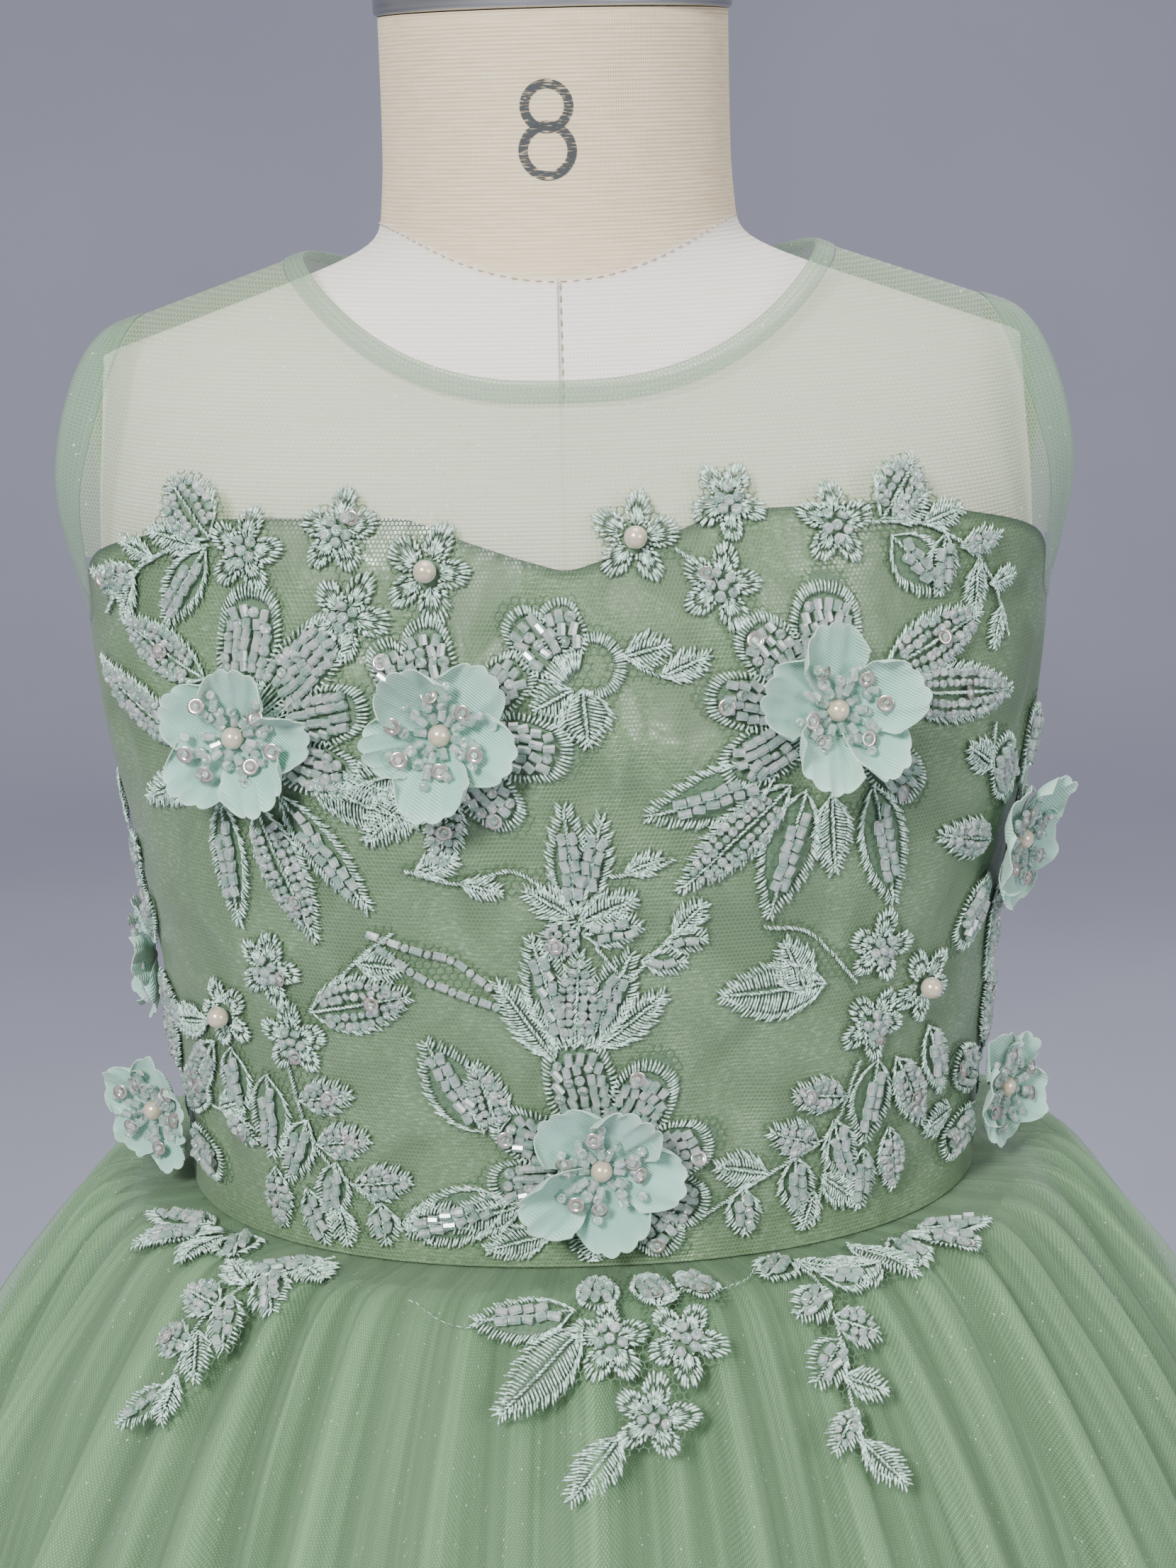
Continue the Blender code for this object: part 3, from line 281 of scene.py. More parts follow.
def bump(shader, height, distance):
    made = node(shader.id_data, "Bump", {"Height": height, "Distance": distance})
    join(shader, Normal=made.outputs[0])


def mottled_material(name, roughness, scale, dark, light, detail=2.0, spread=None, gloss=None,
                     **uniform):
    """A material in clouds of two colours; spread sharpens them and gloss is a range of roughness."""
    mat, tree, shader = new_material(name, roughness, **uniform)
    cloud = noise(space_map(tree), scale, detail)
    share = ramp(cloud, *spread) if spread else cloud
    join(shader, Base_Color=blend(share, dark, light))
    if gloss:
        join(shader, Roughness=ramp(cloud, 0.0, 1.0, *gloss))
    return mat, tree, shader


def weave_group():
    """Plain weave with heavy weft: thread height, and slubs that darken or lighten a thread."""
    group, into, out = node_group("Canvas weave", ("Height", "Slub"), Pitch=0.001)
    place = axes_of(into["Vector"])
    turns = maths("DIVIDE", 6.2832, into["Pitch"])
    warp, weft = (times(maths("SINE", times(line, turns)), share)
                  for line, share in zip(place, (0.35, 0.65)))
    join(out, Height=maths("ADD", weft, warp),
         Slub=noise(into["Vector"], (60.0, 1100.0, 60.0)))
    return group


WEAVE = weave_group()


def weave_at(chart, pitch):
    """Thread height and slubs of a plain weave at a pitch in metres."""
    made = node(chart.id_data, "Group", {"Vector": chart, "Pitch": pitch}, node_tree=WEAVE)
    return made.outputs["Height"], made.outputs["Slub"]


def canvas_material():
    mat, tree, shader = new_material("linen_canvas", 0.85, Sheen_Weight=0.15)
    chart = cloth_map(tree)
    thread, slub = weave_at(chart, 0.00105)
    place = axes_of(chart)
    below = marked(tree, "below_seam")
    cloth = blend(below, CANVAS_TAN, CANVAS_PALE)
    cloth = blend(ramp(slub, 0.35, 0.70, 0.0, 0.55), cloth, (0.92, 0.80, 0.62))
    cloth = blend(ramp(thread, -0.9, 0.3, 0.30, 0.0), cloth, (0.42, 0.34, 0.25))
    groove = ramp(maths("ABSOLUTE", place[0]), 0.0002, 0.0009, 1.0, 0.0)
    groove = times(groove, below)
    groove = times(groove, ramp(place[1], 0.218, 0.232, 0.25, 1.0))
    join(shader, Base_Color=blend(times(groove, 0.55), cloth, (0.40, 0.33, 0.26)))
    bump(shader, maths("SUBTRACT", thread, times(groove, 4.0)), 0.00012)
    return mat


def neck_seam_rise(degrees):
    """The neck seam dips in front and climbs towards the back."""
    return 0.2660 - 0.0137*np.cos(np.radians(degrees))**3


def form_at(degrees, rise, out=0.0):
    """Points of the canvas: the chest and the neck, run together in a short flare."""
    chest = body_at(FORM, degrees, rise, drop=FORM_SHOULDER_DROP)
    radius = np.hypot(chest[..., 0], chest[..., 1])
    neck = smooth_values(NECK[:, 0], NECK[:, 1], rise)
    joined = (np.maximum(radius, 0.001)**7 + neck**7)**(1/7)
    radius = np.where(np.asarray(rise) > SHOULDER_START, joined, radius) + out
    angle = np.radians(degrees)
    return np.stack([radius*np.sin(angle), -radius*np.cos(angle), chest[..., 2]], -1)


def build_torso():
    canvas = canvas_material()
    rises = np.concatenate([[TORSO_FOOT], np.linspace(-0.148, 0.20, 60), np.linspace(0.204, 0.275, 44),
                            np.linspace(0.280, NECK_TOP, 10)])
    degrees = np.linspace(-180, 180, 161)
    grid_degrees, grid_rises = np.meshgrid(degrees, rises)
    points = form_at(grid_degrees, grid_rises)
    across = np.radians(grid_degrees)*TORSO_RADIUS
    torso = grid_piece("canvas_torso", points[:, :-1], across, grid_rises, canvas, closed=True)
    mesh = torso.data
    height = np.array([v.co.z - WAIST for v in mesh.vertices])
    around = np.degrees([math.atan2(v.co.x, -v.co.y) for v in mesh.vertices])
    mark(torso, "below_seam", np.clip((neck_seam_rise(around) - height)/0.0012 + 0.5, 0, 1))
    bm = bmesh.new()
    bm.from_mesh(mesh)
    bmesh.ops.holes_fill(bm, edges=[e for e in bm.edges if e.is_boundary])
    bm.to_mesh(mesh)
    bm.free()
    belongs(torso, "form_torso")


def thread_mesh(name, starts, middles, ends, widths, ups, mat):
    """Many short stitches: each a closed spindle from its start over its middle to its end."""
    starts, middles, ends, ups = (np.asarray(a, float) for a in (starts, middles, ends, ups))
    count = len(starts)
    wide = np.asarray(widths, float).reshape(-1, 1)
    ups = unit(ups)
    cross = unit(np.cross(unit(ends - starts), ups))
    verts = np.empty((count, 8, 3))
    verts[:, 0] = starts
    verts[:, 7] = ends
    for k, share in ((1, 0.28), (4, 0.72)):
        arch = middles - (starts + ends)/2
        middle = starts + (ends - starts)*share + arch*0.85
        verts[:, k] = middle - cross*wide/2
        verts[:, k + 1] = middle + ups*wide*0.55
        verts[:, k + 2] = middle + cross*wide/2
    sides = [(0, 2, 1), (0, 3, 2), (0, 1, 3), (1, 2, 5), (1, 5, 4), (2, 3, 6), (2, 6, 5), (3, 1, 4),
             (3, 4, 6), (7, 4, 5), (7, 5, 6), (7, 6, 4)]
    faces = (np.arange(count)[:, None, None]*8 + np.array(sides)[None]).reshape(-1, 3)
    return add_mesh(name, verts.reshape(-1, 3).tolist(), faces.tolist(), mat)


def build_neck_stitches():
    cotton, _, _ = mottled_material("cotton_thread", 0.8, 900.0, (0.34, 0.27, 0.19), (0.62, 0.52, 0.40))
    starts, middles, ends, ups = [], [], [], []
    for degrees in np.arange(-180, 180, 3.4):
        a, b = (form_at(turn, neck_seam_rise(turn), 0.00012) for turn in (degrees, degrees + 2.1))
        over = unit(np.array([a[0], a[1], 0.0]))
        starts.append(a)
        ends.append(b)
        middles.append((a + b)/2 + over*0.00030)
        ups.append(over)
    for rise in np.arange(neck_seam_rise(0.0) - 0.0004, 0.224, -0.0029):
        a, b = form_at(0.35, rise, 0.0001), form_at(0.35, rise - 0.0018, 0.0001)
        starts.append(a)
        ends.append(b)
        middles.append((a + b)/2 + np.array([0, -0.00025, 0]))
        ups.append(np.array([0, -1.0, 0.2]))
    widths = np.full(len(starts), 0.00042)
    belongs(thread_mesh("neck_seam_stitches", starts, middles, ends, widths, ups, cotton))


def build_size_figure():
    """The stencilled 8: two rings of ink laid on the weave, worn where the weft stands proud."""
    ink, tree, shader = mottled_material("stencil_ink", 0.8, 420.0, INK, (0.055, 0.065, 0.06),
                                         detail=3.0)
    gaps = noise(space_map(tree), (300.0, 300.0, 2400.0))
    join(shader, Alpha=ramp(gaps, 0.37, 0.50, 0.12, 0.97))
    turn = np.linspace(0, 2*math.pi, 41)
    edges = np.array([[-0.00118], [0.00118]])
    rings = []
    for middle, half_width, half_height in ((0.2955, 0.0056, 0.0055), (0.2845, 0.0062, 0.0062)):
        across = -0.0020 + (half_width + edges)*np.sin(turn)
        rise = middle + (half_height + edges)*np.cos(turn)
        radius = smooth_values(NECK[:, 0], NECK[:, 1], rise)
        points = form_at(np.degrees(np.arcsin(across/radius)), rise, 0.0002)
        rings.append(grid_piece("size_figure", points[:, :-1], across, rise, ink, closed=True))
    bpy.ops.object.select_all(action="DESELECT")
    for ring in rings:
        ring.select_set(True)
    bpy.context.view_layer.objects.active = rings[0]
    bpy.ops.object.join()
    belongs(rings[0])


build_torso()
build_neck_stitches()
build_size_figure()


# Neck cap: a spun disc of satin-brushed metal that closes the top of the canvas neck. Its rim
# overhangs the canvas by about a millimetre.
CAP_FOOT = WAIST + NECK_TOP + 0.0003
CAP_RADIUS = 0.0478


def brushed_material(name, colour, roughness, grain):
    """Metal brushed round its axis: fine streaks that vary the roughness."""
    mat, tree, shader = new_material(name, roughness, 1.0)
    streak = noise(space_map(tree), (14.0, 14.0, grain), 4.0)
    join(shader, Roughness=ramp(streak, 0.0, 1.0, roughness - 0.12, roughness + 0.15),
         Base_Color=blend(streak, shade(colour, 0.72), colour))
    bump(shader, streak, 0.00003)
    return mat


def to_edit(select):
    """Into edit mode on the active object, with only the faces that select(face) names."""
    bpy.ops.object.mode_set(mode="EDIT")
    bpy.ops.mesh.select_mode(type="FACE")
    bpy.ops.mesh.select_all(action="DESELECT")
    bpy.ops.object.mode_set(mode="OBJECT")
    for face in bpy.context.object.data.polygons:
        face.select = bool(select(face))
    bpy.ops.object.mode_set(mode="EDIT")


def settle(piece, mat, angle=0.6):
    """Back to object mode, with its place in its mesh, smooth sides and its material."""
    if bpy.context.object.mode == "EDIT":
        bpy.ops.object.mode_set(mode="OBJECT")
    bpy.ops.object.select_all(action="DESELECT")
    piece.select_set(True)
    bpy.context.view_layer.objects.active = piece
    for modifier in list(piece.modifiers):
        bpy.ops.object.modifier_apply(modifier=modifier.name)
    bpy.ops.object.transform_apply(location=True, rotation=True, scale=True)
    bpy.ops.object.shade_smooth_by_angle(angle=angle)
    piece.data.materials.clear()
    piece.data.materials.append(mat)


def round_bevel(piece, width, segments=3, limit=0.5):
    made = piece.modifiers.new("edge", "BEVEL")
    made.width = width
    made.segments = segments
    made.limit_method = "ANGLE"
    made.angle_limit = limit


def add_cylinder(name, radius, foot, height, vertices):
    bpy.ops.object.select_all(action="DESELECT")
    bpy.ops.mesh.primitive_cylinder_add(vertices=vertices, radius=radius, depth=height,
                                        location=(0, 0, foot + height/2))
    piece = bpy.context.object
    piece.name = name
    return piece


def build_cap():
    cap = add_cylinder("neck_cap", CAP_RADIUS, CAP_FOOT, 0.0135, 96)
    to_edit(lambda face: face.normal.z > 0.9)
    for inset, climb in ((0.0013, 0.0045), (0.0045, 0.0040), (0.012, 0.0038), (0.016, 0.0),
                         (0.006, -0.0012)):
        bpy.ops.mesh.inset(thickness=inset)
        bpy.ops.transform.translate(value=(0, 0, climb))
    round_bevel(cap, 0.0012)
    settle(cap, brushed_material("brushed_metal", (0.50, 0.50, 0.51), 0.34, 900.0))
    belongs(cap, "form_neck_cap")


build_cap()


# Stand: a steel pole with a round mounting plate under the torso, screwed into a heavy round
# base. Both are powder coated in dark grey, with a fine orange-peel skin and duller patches.
BASE_RADIUS = 0.180
BASE_HEIGHT = 0.022
POLE_RADIUS = 0.0125


def coated_material():
    mat, tree, shader = mottled_material("dark_powder_coat", 0.45, 14.0, (0.020, 0.020, 0.022),
                                         (0.042, 0.041, 0.040), detail=5.0, gloss=(0.34, 0.62))
    bump(shader, noise(space_map(tree), 1400.0), 0.00008)
    return mat


def build_stand():
    coat = coated_material()
    base = add_cylinder("stand_base", BASE_RADIUS, 0.0, 0.0065, 128)
    to_edit(lambda face: face.normal.z > 0.9)
    for inset, climb in ((0.004, 0.0035), (0.026, 0.0050), (0.110, 0.0070)):
        bpy.ops.mesh.inset(thickness=inset)
        bpy.ops.transform.translate(value=(0, 0, climb))
    round_bevel(base, 0.0018, limit=0.3)
    settle(base, coat, 0.5)
    foot = BASE_HEIGHT + 0.0003
    top = WAIST + TORSO_FOOT - 0.0003
    pole = add_cylinder("stand_pole", POLE_RADIUS, foot + 0.012, top - 0.010 - foot - 0.012, 48)
    for side in (-1, 1):
        to_edit(lambda face: face.normal.z*side > 0.9)
        bpy.ops.mesh.extrude_region_move(TRANSFORM_OT_translate={"value": (0, 0, side*0.004)})
        bpy.ops.transform.resize(value=(3.55, 3.55, 1) if side > 0 else (2.2, 2.2, 1))
        bpy.ops.mesh.extrude_region_move(
            TRANSFORM_OT_translate={"value": (0, 0, 0.006 if side > 0 else -0.008)})
        bpy.ops.object.mode_set(mode="OBJECT")
    round_bevel(pole, 0.0008, limit=0.4)
    settle(pole, coat, 0.5)
    belongs(base, "form_base")
    belongs(pole, "form_pole")


build_stand()


# Bodice: sage satin in one front and two backs, cut smooth with a sweetheart top, with one layer
# of fine net laid over it. The satin puckers softly between the applique and the seams.
# The satin's cloud colours are painted light: painted shade on the low parts of its soft folds, the lit
# colour on the high parts, and painted shine along the weft.
SATIN_PAINTED_SHADE = (0.080, 0.138, 0.062)
SATIN_PAINTED_LIT = (0.118, 0.196, 0.093)
SATIN_PAINTED_SHINE = (0.259, 0.373, 0.232)
SATIN_THREAD = (0.196, 0.300, 0.173)
SEAM_DARK = (0.040, 0.080, 0.036)
PUCKER_SIZE = 2.8
CHEST_RADIUS = 0.115
BACK_RADIUS = 0.0885
HALF_SEAM = 0.00015
ZIP_GAP = 0.0028
DRESS = np.array([
    (-0.010, 0.1132, 0.0905, 0.0905), (0.000, 0.1133, 0.0905, 0.0905), (0.024, 0.1142, 0.0908, 0.0900),
    (0.046, 0.1162, 0.0920, 0.0902), (0.070, 0.1190, 0.0938, 0.0910), (0.094, 0.1224, 0.0960, 0.0930),
    (0.112, 0.1256, 0.0976, 0.0945), (0.128, 0.1288, 0.0982, 0.0955), (0.142, 0.1308, 0.0970, 0.0958),
    (0.157, 0.1322, 0.0945, 0.0955), (0.166, 0.1325, 0.0925, 0.0950), (0.174, 0.1350, 0.0905, 0.0943),
    (0.184, 0.1392, 0.0878, 0.0930), (0.194, 0.1435, 0.0850, 0.0912), (0.207, 0.1470, 0.0812, 0.0880),
    (0.221, 0.1480, 0.0778, 0.0840), (0.235, 0.1480, 0.0745, 0.0790), (0.262, 0.1480, 0.0690, 0.0700)])
# angle round the body, rise of the satin's top edge
SATIN_EDGE = np.array([
    (0, 0.1840), (5, 0.1858), (16, 0.1912), (28, 0.1972), (48, 0.1968), (60, 0.1918), (68, 0.1866),
    (72.5, 0.1805), (76, 0.1710), (80, 0.1640), (85, 0.1597), (90, 0.1587), (95, 0.1597), (100, 0.1640),
    (104, 0.1710), (107.5, 0.1790), (125, 0.1790), (150, 0.1770), (180, 0.1760)])
# a soft fold from one angle and rise to another: width in metres, height (troughs are below 0)
PUCKERS = [
    (6, 0.176, 9, 0.118, 0.0052, -0.0007), (13, 0.172, 15, 0.128, 0.0060, 0.0004),
    (1, 0.140, 4, 0.112, 0.0045, -0.0006), (9, 0.142, 20, 0.130, 0.0055, 0.0005),
    (-6, 0.126, -16, 0.118, 0.0050, -0.0006), (-12, 0.116, -23, 0.112, 0.0042, 0.0005),
    (3, 0.128, 16, 0.118, 0.0048, -0.0006), (-1, 0.180, -12, 0.166, 0.0060, -0.0007),
    (20, 0.172, 26, 0.158, 0.0050, 0.0004), (-26, 0.178, -27, 0.160, 0.0048, -0.0005),
    (-20, 0.104, -22, 0.070, 0.0056, -0.0005), (-26, 0.100, -24, 0.052, 0.0064, 0.0004),
    (-14, 0.062, -20, 0.018, 0.0070, -0.0006), (20, 0.070, 24, 0.026, 0.0070, -0.0006),
    (28, 0.064, 31, 0.016, 0.0060, 0.0004), (30, 0.096, 38, 0.074, 0.0054, -0.0005),
    (20, 0.108, 30, 0.086, 0.0050, 0.0004), (-60, 0.130, -66, 0.100, 0.0060, -0.0006),
    (-58, 0.104, -70, 0.088, 0.0056, 0.0004), (62, 0.126, 66, 0.096, 0.0058, -0.0006),
    (58, 0.118, 70, 0.108, 0.0050, 0.0004), (-75, 0.150, -70, 0.120, 0.0050, -0.0006),
    (76, 0.150, 70, 0.124, 0.0050, -0.0006), (-70, 0.034, -58, 0.014, 0.0060, -0.0005),
    (68, 0.034, 56, 0.012, 0.0060, -0.0005), (104, 0.140, 118, 0.120, 0.0062, -0.0007),
    (-104, 0.144, -120, 0.122, 0.0060, -0.0007), (112, 0.110, 134, 0.098, 0.0060, 0.0005),
    (-110, 0.106, -132, 0.100, 0.0058, 0.0005), (150, 0.150, 168, 0.146, 0.0050, -0.0006),
    (-148, 0.152, -166, 0.144, 0.0052, -0.0006), (140, 0.070, 172, 0.064, 0.0060, -0.0007),
    (-138, 0.074, -172, 0.060, 0.0060, -0.0007), (120, 0.046, 150, 0.034, 0.0066, 0.0005),
    (-122, 0.050, -152, 0.038, 0.0064, 0.0005), (158, 0.104, 174, 0.112, 0.0048, 0.0004),
    (-156, 0.100, -173, 0.108, 0.0048, 0.0004), (128, 0.022, 166, 0.014, 0.0060, -0.0006),
    (-126, 0.020, -168, 0.016, 0.0060, -0.0006)]


def hex_net_group():
    """Six-sided net: 1 on the threads and 0 in the holes, at a cell size in metres."""
    group, into, out = node_group("Hexagon net", ("Mask",), Cell=0.0013, Thread=0.12)

    def vector(operation, *values):
        return node(group, "VectorMath", dict(enumerate(values)), operation=operation)

    scaled = vector("SCALE", into["Vector"])
    join(scaled, Scale=maths("DIVIDE", 1.0, into["Cell"]))
    nearest = []
    for shift in ((0.0, 0.0, 0.0), (0.5, 0.866, 0.0)):
        moved = vector("SUBTRACT", scaled.outputs[0], shift)
        wrapped = vector("WRAP", moved.outputs[0], (0.5, 0.866, 0.5), (-0.5, -0.866, -0.5))
        flat = vector("MULTIPLY", wrapped.outputs[0], (1.0, 1.0, 0.0))
        place = vector("ABSOLUTE", flat.outputs[0]).outputs[0]
        slant = vector("DOT_PRODUCT", place, (0.5, 0.866, 0.0)).outputs["Value"]
        nearest.append(maths("MAXIMUM", slant, axes_of(place)[0]))
    start = maths("SUBTRACT", 0.5, into["Thread"])
    line = node(group, "MapRange", {"Value": maths("MINIMUM", *nearest), 1: start, 2: 0.5},
                interpolation_type="SMOOTHSTEP")
    join(out, Mask=line.outputs[0])
    return group


HEX_NET = hex_net_group()


def net_mask(vector, cell, thread):
    sockets = {"Vector": vector, "Cell": cell, "Thread": thread}
    return node(vector.id_data, "Group", sockets, node_tree=HEX_NET).outputs["Mask"]


def satin_material():
    mat, tree, shader = new_material("sage_satin_under_net", 0.34, Sheen_Weight=0.08,
                                     Specular_IOR_Level=0.75)
    chart = cloth_map(tree)
    drawn = turned_map(chart, scale=(46.0, 40.0, 1.0))
    cloud = node(tree, "TexNoise", {"Scale": 1.0, "Detail": 3.0, "Roughness": 0.45, "Distortion": 0.6,
                                    "Vector": drawn}).outputs["Fac"]
    # Painted shade and highlight: the cloud that raises the soft folds in the bump also darkens their
    # low parts and lightens their high parts.
    painted_glow = ramp(cloud, 0.36, 0.66)
    cloth = blend(painted_glow, SATIN_PAINTED_SHADE, SATIN_PAINTED_LIT)
    weft = turned_map(chart, 0.12, (420.0, 1500.0, 1.0))
    # Painted shine: streaks along the weft, on the lit parts only.
    painted_sheen_streaks = ramp(noise(weft, 1.0), 0.50, 0.72)
    cloth = blend(times(painted_sheen_streaks, painted_glow), cloth, SATIN_PAINTED_SHINE)
    mask = net_mask(chart, 0.00125, 0.16)
    cloth = blend(times(mask, 0.55), cloth, SATIN_THREAD)
    rough = ramp(cloud, 0.3, 0.7, 0.42, 0.22)
    join(shader, Base_Color=blend(marked(tree, "edge"), cloth, SEAM_DARK),
         Roughness=maths("ADD", rough, times(mask, 0.2)))
    folds, threads = times(cloud, 14.0), times(mask, 0.5)
    bump(shader, maths("ADD", folds, threads), 0.00016)
    return mat


def body_frame(degrees, rise):
    """Points of the dress, with the unit vectors across the cloth, up it and out of it."""
    degrees, rise = np.asarray(degrees), np.asarray(rise)
    across = body_at(DRESS, degrees + 0.5, rise) - body_at(DRESS, degrees - 0.5, rise)
    up = body_at(DRESS, degrees, rise + 0.002) - body_at(DRESS, degrees, rise - 0.002)
    return body_at(DRESS, degrees, rise), unit(across), unit(up), unit(np.cross(across, up))


def pucker_height(degrees, rise):
    """Sum of the satin's soft folds at a place; each fades out towards its two ends."""
    total = np.zeros(np.broadcast(degrees, rise).shape)
    for from_angle, from_rise, to_angle, to_rise, width, height in PUCKERS:
        x, y = np.radians(degrees)*CHEST_RADIUS, rise
        ax, bx = math.radians(from_angle)*CHEST_RADIUS, math.radians(to_angle)*CHEST_RADIUS
        run = np.array([bx - ax, to_rise - from_rise])
        length = np.hypot(*run)
        along = ((x - ax)*run[0] + (y - from_rise)*run[1])/length**2
        bow = 0.12*length*np.sin(np.pi*np.clip(along, 0, 1))
        off = ((x - ax)*run[1] - (y - from_rise)*run[0])/length + bow
        fade = np.clip(1 - np.abs(along - 0.5)/0.75, 0, 1)**0.7
        total += PUCKER_SIZE*height*np.exp(-(off/width)**2)*fade
    return total


def satin_top(degrees):
    return smooth_values(SATIN_EDGE[:, 0], SATIN_EDGE[:, 1], np.abs(degrees))


def back_angle(distance):
    """Degrees from centre back at a distance from the zip's middle."""
    return math.degrees(distance/BACK_RADIUS)


def build_bodice():
    satin = satin_material()
    seam = 90 - math.degrees(HALF_SEAM/0.12)
    zip_edge = 180 - back_angle(ZIP_GAP)
    panels = (("front", -seam, seam, 150), ("back_left", -zip_edge, -180 + seam, 76),
              ("back_right", 180 - seam, zip_edge, 76))
    for name, first, last, columns in panels:
        degrees, climb = np.meshgrid(np.linspace(first, last, columns), np.linspace(0, 1, 60))
        rise = HALF_SEAM + (satin_top(degrees) - HALF_SEAM)*climb
        point, _, _, out = body_frame(degrees, rise)
        quiet = np.clip(np.minimum(climb, 1 - climb)/0.05, 0, 1)
        point += out*(pucker_height(degrees, rise)*quiet)[..., None]
        panel = grid_piece("satin_" + name, point, np.radians(degrees)*CHEST_RADIUS, rise, satin)
        near_top = np.clip(1 - (satin_top(degrees) - rise)/0.0011, 0, 1)
        notch = np.clip(1 - np.abs(degrees*0.0016)/0.0007, 0, 1)*(rise > 0.166)*0.8
        mark(panel, "edge", np.maximum(near_top, notch if name == "front" else 0))
        thick = panel.modifiers.new("cloth", "SOLIDIFY")
        thick.thickness = 0.0006
        thick.offset = -1
        settle(panel, satin, 0.9)
        belongs(panel, "bodice_" + name)


build_bodice()


# Yoke: one layer of sheer net over shoulders and upper chest, front and two backs, sewn to the
# satin's top edge with a narrow dark seam. It stands clear of the form, at the shoulders too.
NET_GREEN = (0.43, 0.58, 0.31)
# the paler green of the net's painted glints
NET_PAINTED_GLINT = (0.60, 0.70, 0.54)
NET_CELL = 0.00115
NET_HAZE = 0.24
NECKLINE_FRONT = 0.2290
NECKLINE_BACK = 0.2470
NECK_BAND = 0.0053
SEAM_GAP = 0.0003
ARMHOLE_RISE = 0.2030
ARMHOLE_EDGE = (0.0360, 0.0370, 0.0365)
ARMHOLE_SEAM = (0.0450, 0.0401, 0.0437)
YOKE_CORNER = 117.0
YOKE_RIM = 1.0066
# where the zip's edge meets the neckline, as a share of the neck's half width
NECK_ZIP_EDGE = math.asin(ZIP_GAP/NECK_POINT)/(math.pi/2)


def glints(chart, scale, near, far, rarity):
    """Small bright dots, 1 in the few cells of a scattered pattern whose chance is above rarity."""
    cells = node(chart.id_data, "TexVoronoi", {"Scale": scale, "Vector": chart}).outputs
    dot = ramp(cells["Distance"], near, far, 1.0, 0.0)
    return times(dot, maths("GREATER_THAN", axes_of(cells["Color"])[0], rarity))


def sheer_material(name, colour, thread, solid):
    """Sheer net: threads of a hexagon mesh, with a faint haze in the holes for the filament and
    scattered dots of painted glint.
    """
    mat, tree, shader = new_material(name, 0.55, Sheen_Weight=0.12)
    chart = cloth_map(tree)
    mask = net_mask(chart, NET_CELL, thread)
    tone = blend(noise(chart, 55.0), shade(colour, 0.86), colour)
    # Painted glints: scattered dots of paler green, more opaque than the net.
    shown = glints(chart, 420.0, 0.10, 0.16, 0.80)
    cover = ramp(mask, 0.0, 1.0, NET_HAZE, solid)
    join(shader, Base_Color=blend(shown, tone, NET_PAINTED_GLINT), Alpha=maths("MAXIMUM", cover, shown))
    bump(shader, mask, 0.00006)
    return mat


def armhole_point(turn, share):
    """Place (x, y, rise) round the armhole: turn 0 at the shoulder, 90 in front; share 0 is the
    open edge and 1 the seam."""
    turn, share = np.broadcast_arrays(np.asarray(turn, float), np.asarray(share, float))
    half, upper, lower = (a + (b - a)*share for a, b in zip(ARMHOLE_EDGE, ARMHOLE_SEAM))
    y = -half*np.sin(np.radians(turn))
    height = np.cos(np.radians(turn))
    rise = ARMHOLE_RISE + np.where(height > 0, upper, lower)*height
    side = np.where(y < 0, -1, 1)
    reach = outermost(turn.shape, 0.16,
                      lambda middle: body_depth(DRESS, middle, rise, side) > np.abs(y) + 1e-7)
    return reach, y, rise


def neckline(across, reach, side):
    """Place (x, rise) on the neckline; across runs -1 to 1 and reach 0 is the open edge."""
    half = NECK_POINT + NECK_BAND*reach
    low = (NECKLINE_FRONT if side < 0 else NECKLINE_BACK) - NECK_BAND*reach
    climb = np.abs(np.sin(across*np.pi/2))**(2.6 if side < 0 else 2.2)
    top = shoulder_rise(half)
    return half*np.sin(across*np.pi/2), low + (top - low)*climb


def cloth_normal(x, rise, side):
    """Unit vector out of the dress at a flat place, turned level where the cloth crosses the top."""
    step = 0.0015
    y = body_depth(DRESS, x, rise, side)
    slope_x, slope_z = (
        (body_depth(DRESS, x + a, rise + b, side) - body_depth(DRESS, x - a, rise - b, side))/(2*step)
        for a, b in ((step, 0), (0, step)))
    normal = unit(np.stack([-slope_x, np.full(np.shape(y), float(side)), -slope_z], -1))
    normal[..., 1] *= np.minimum(1, y/0.004)
    return unit(normal)


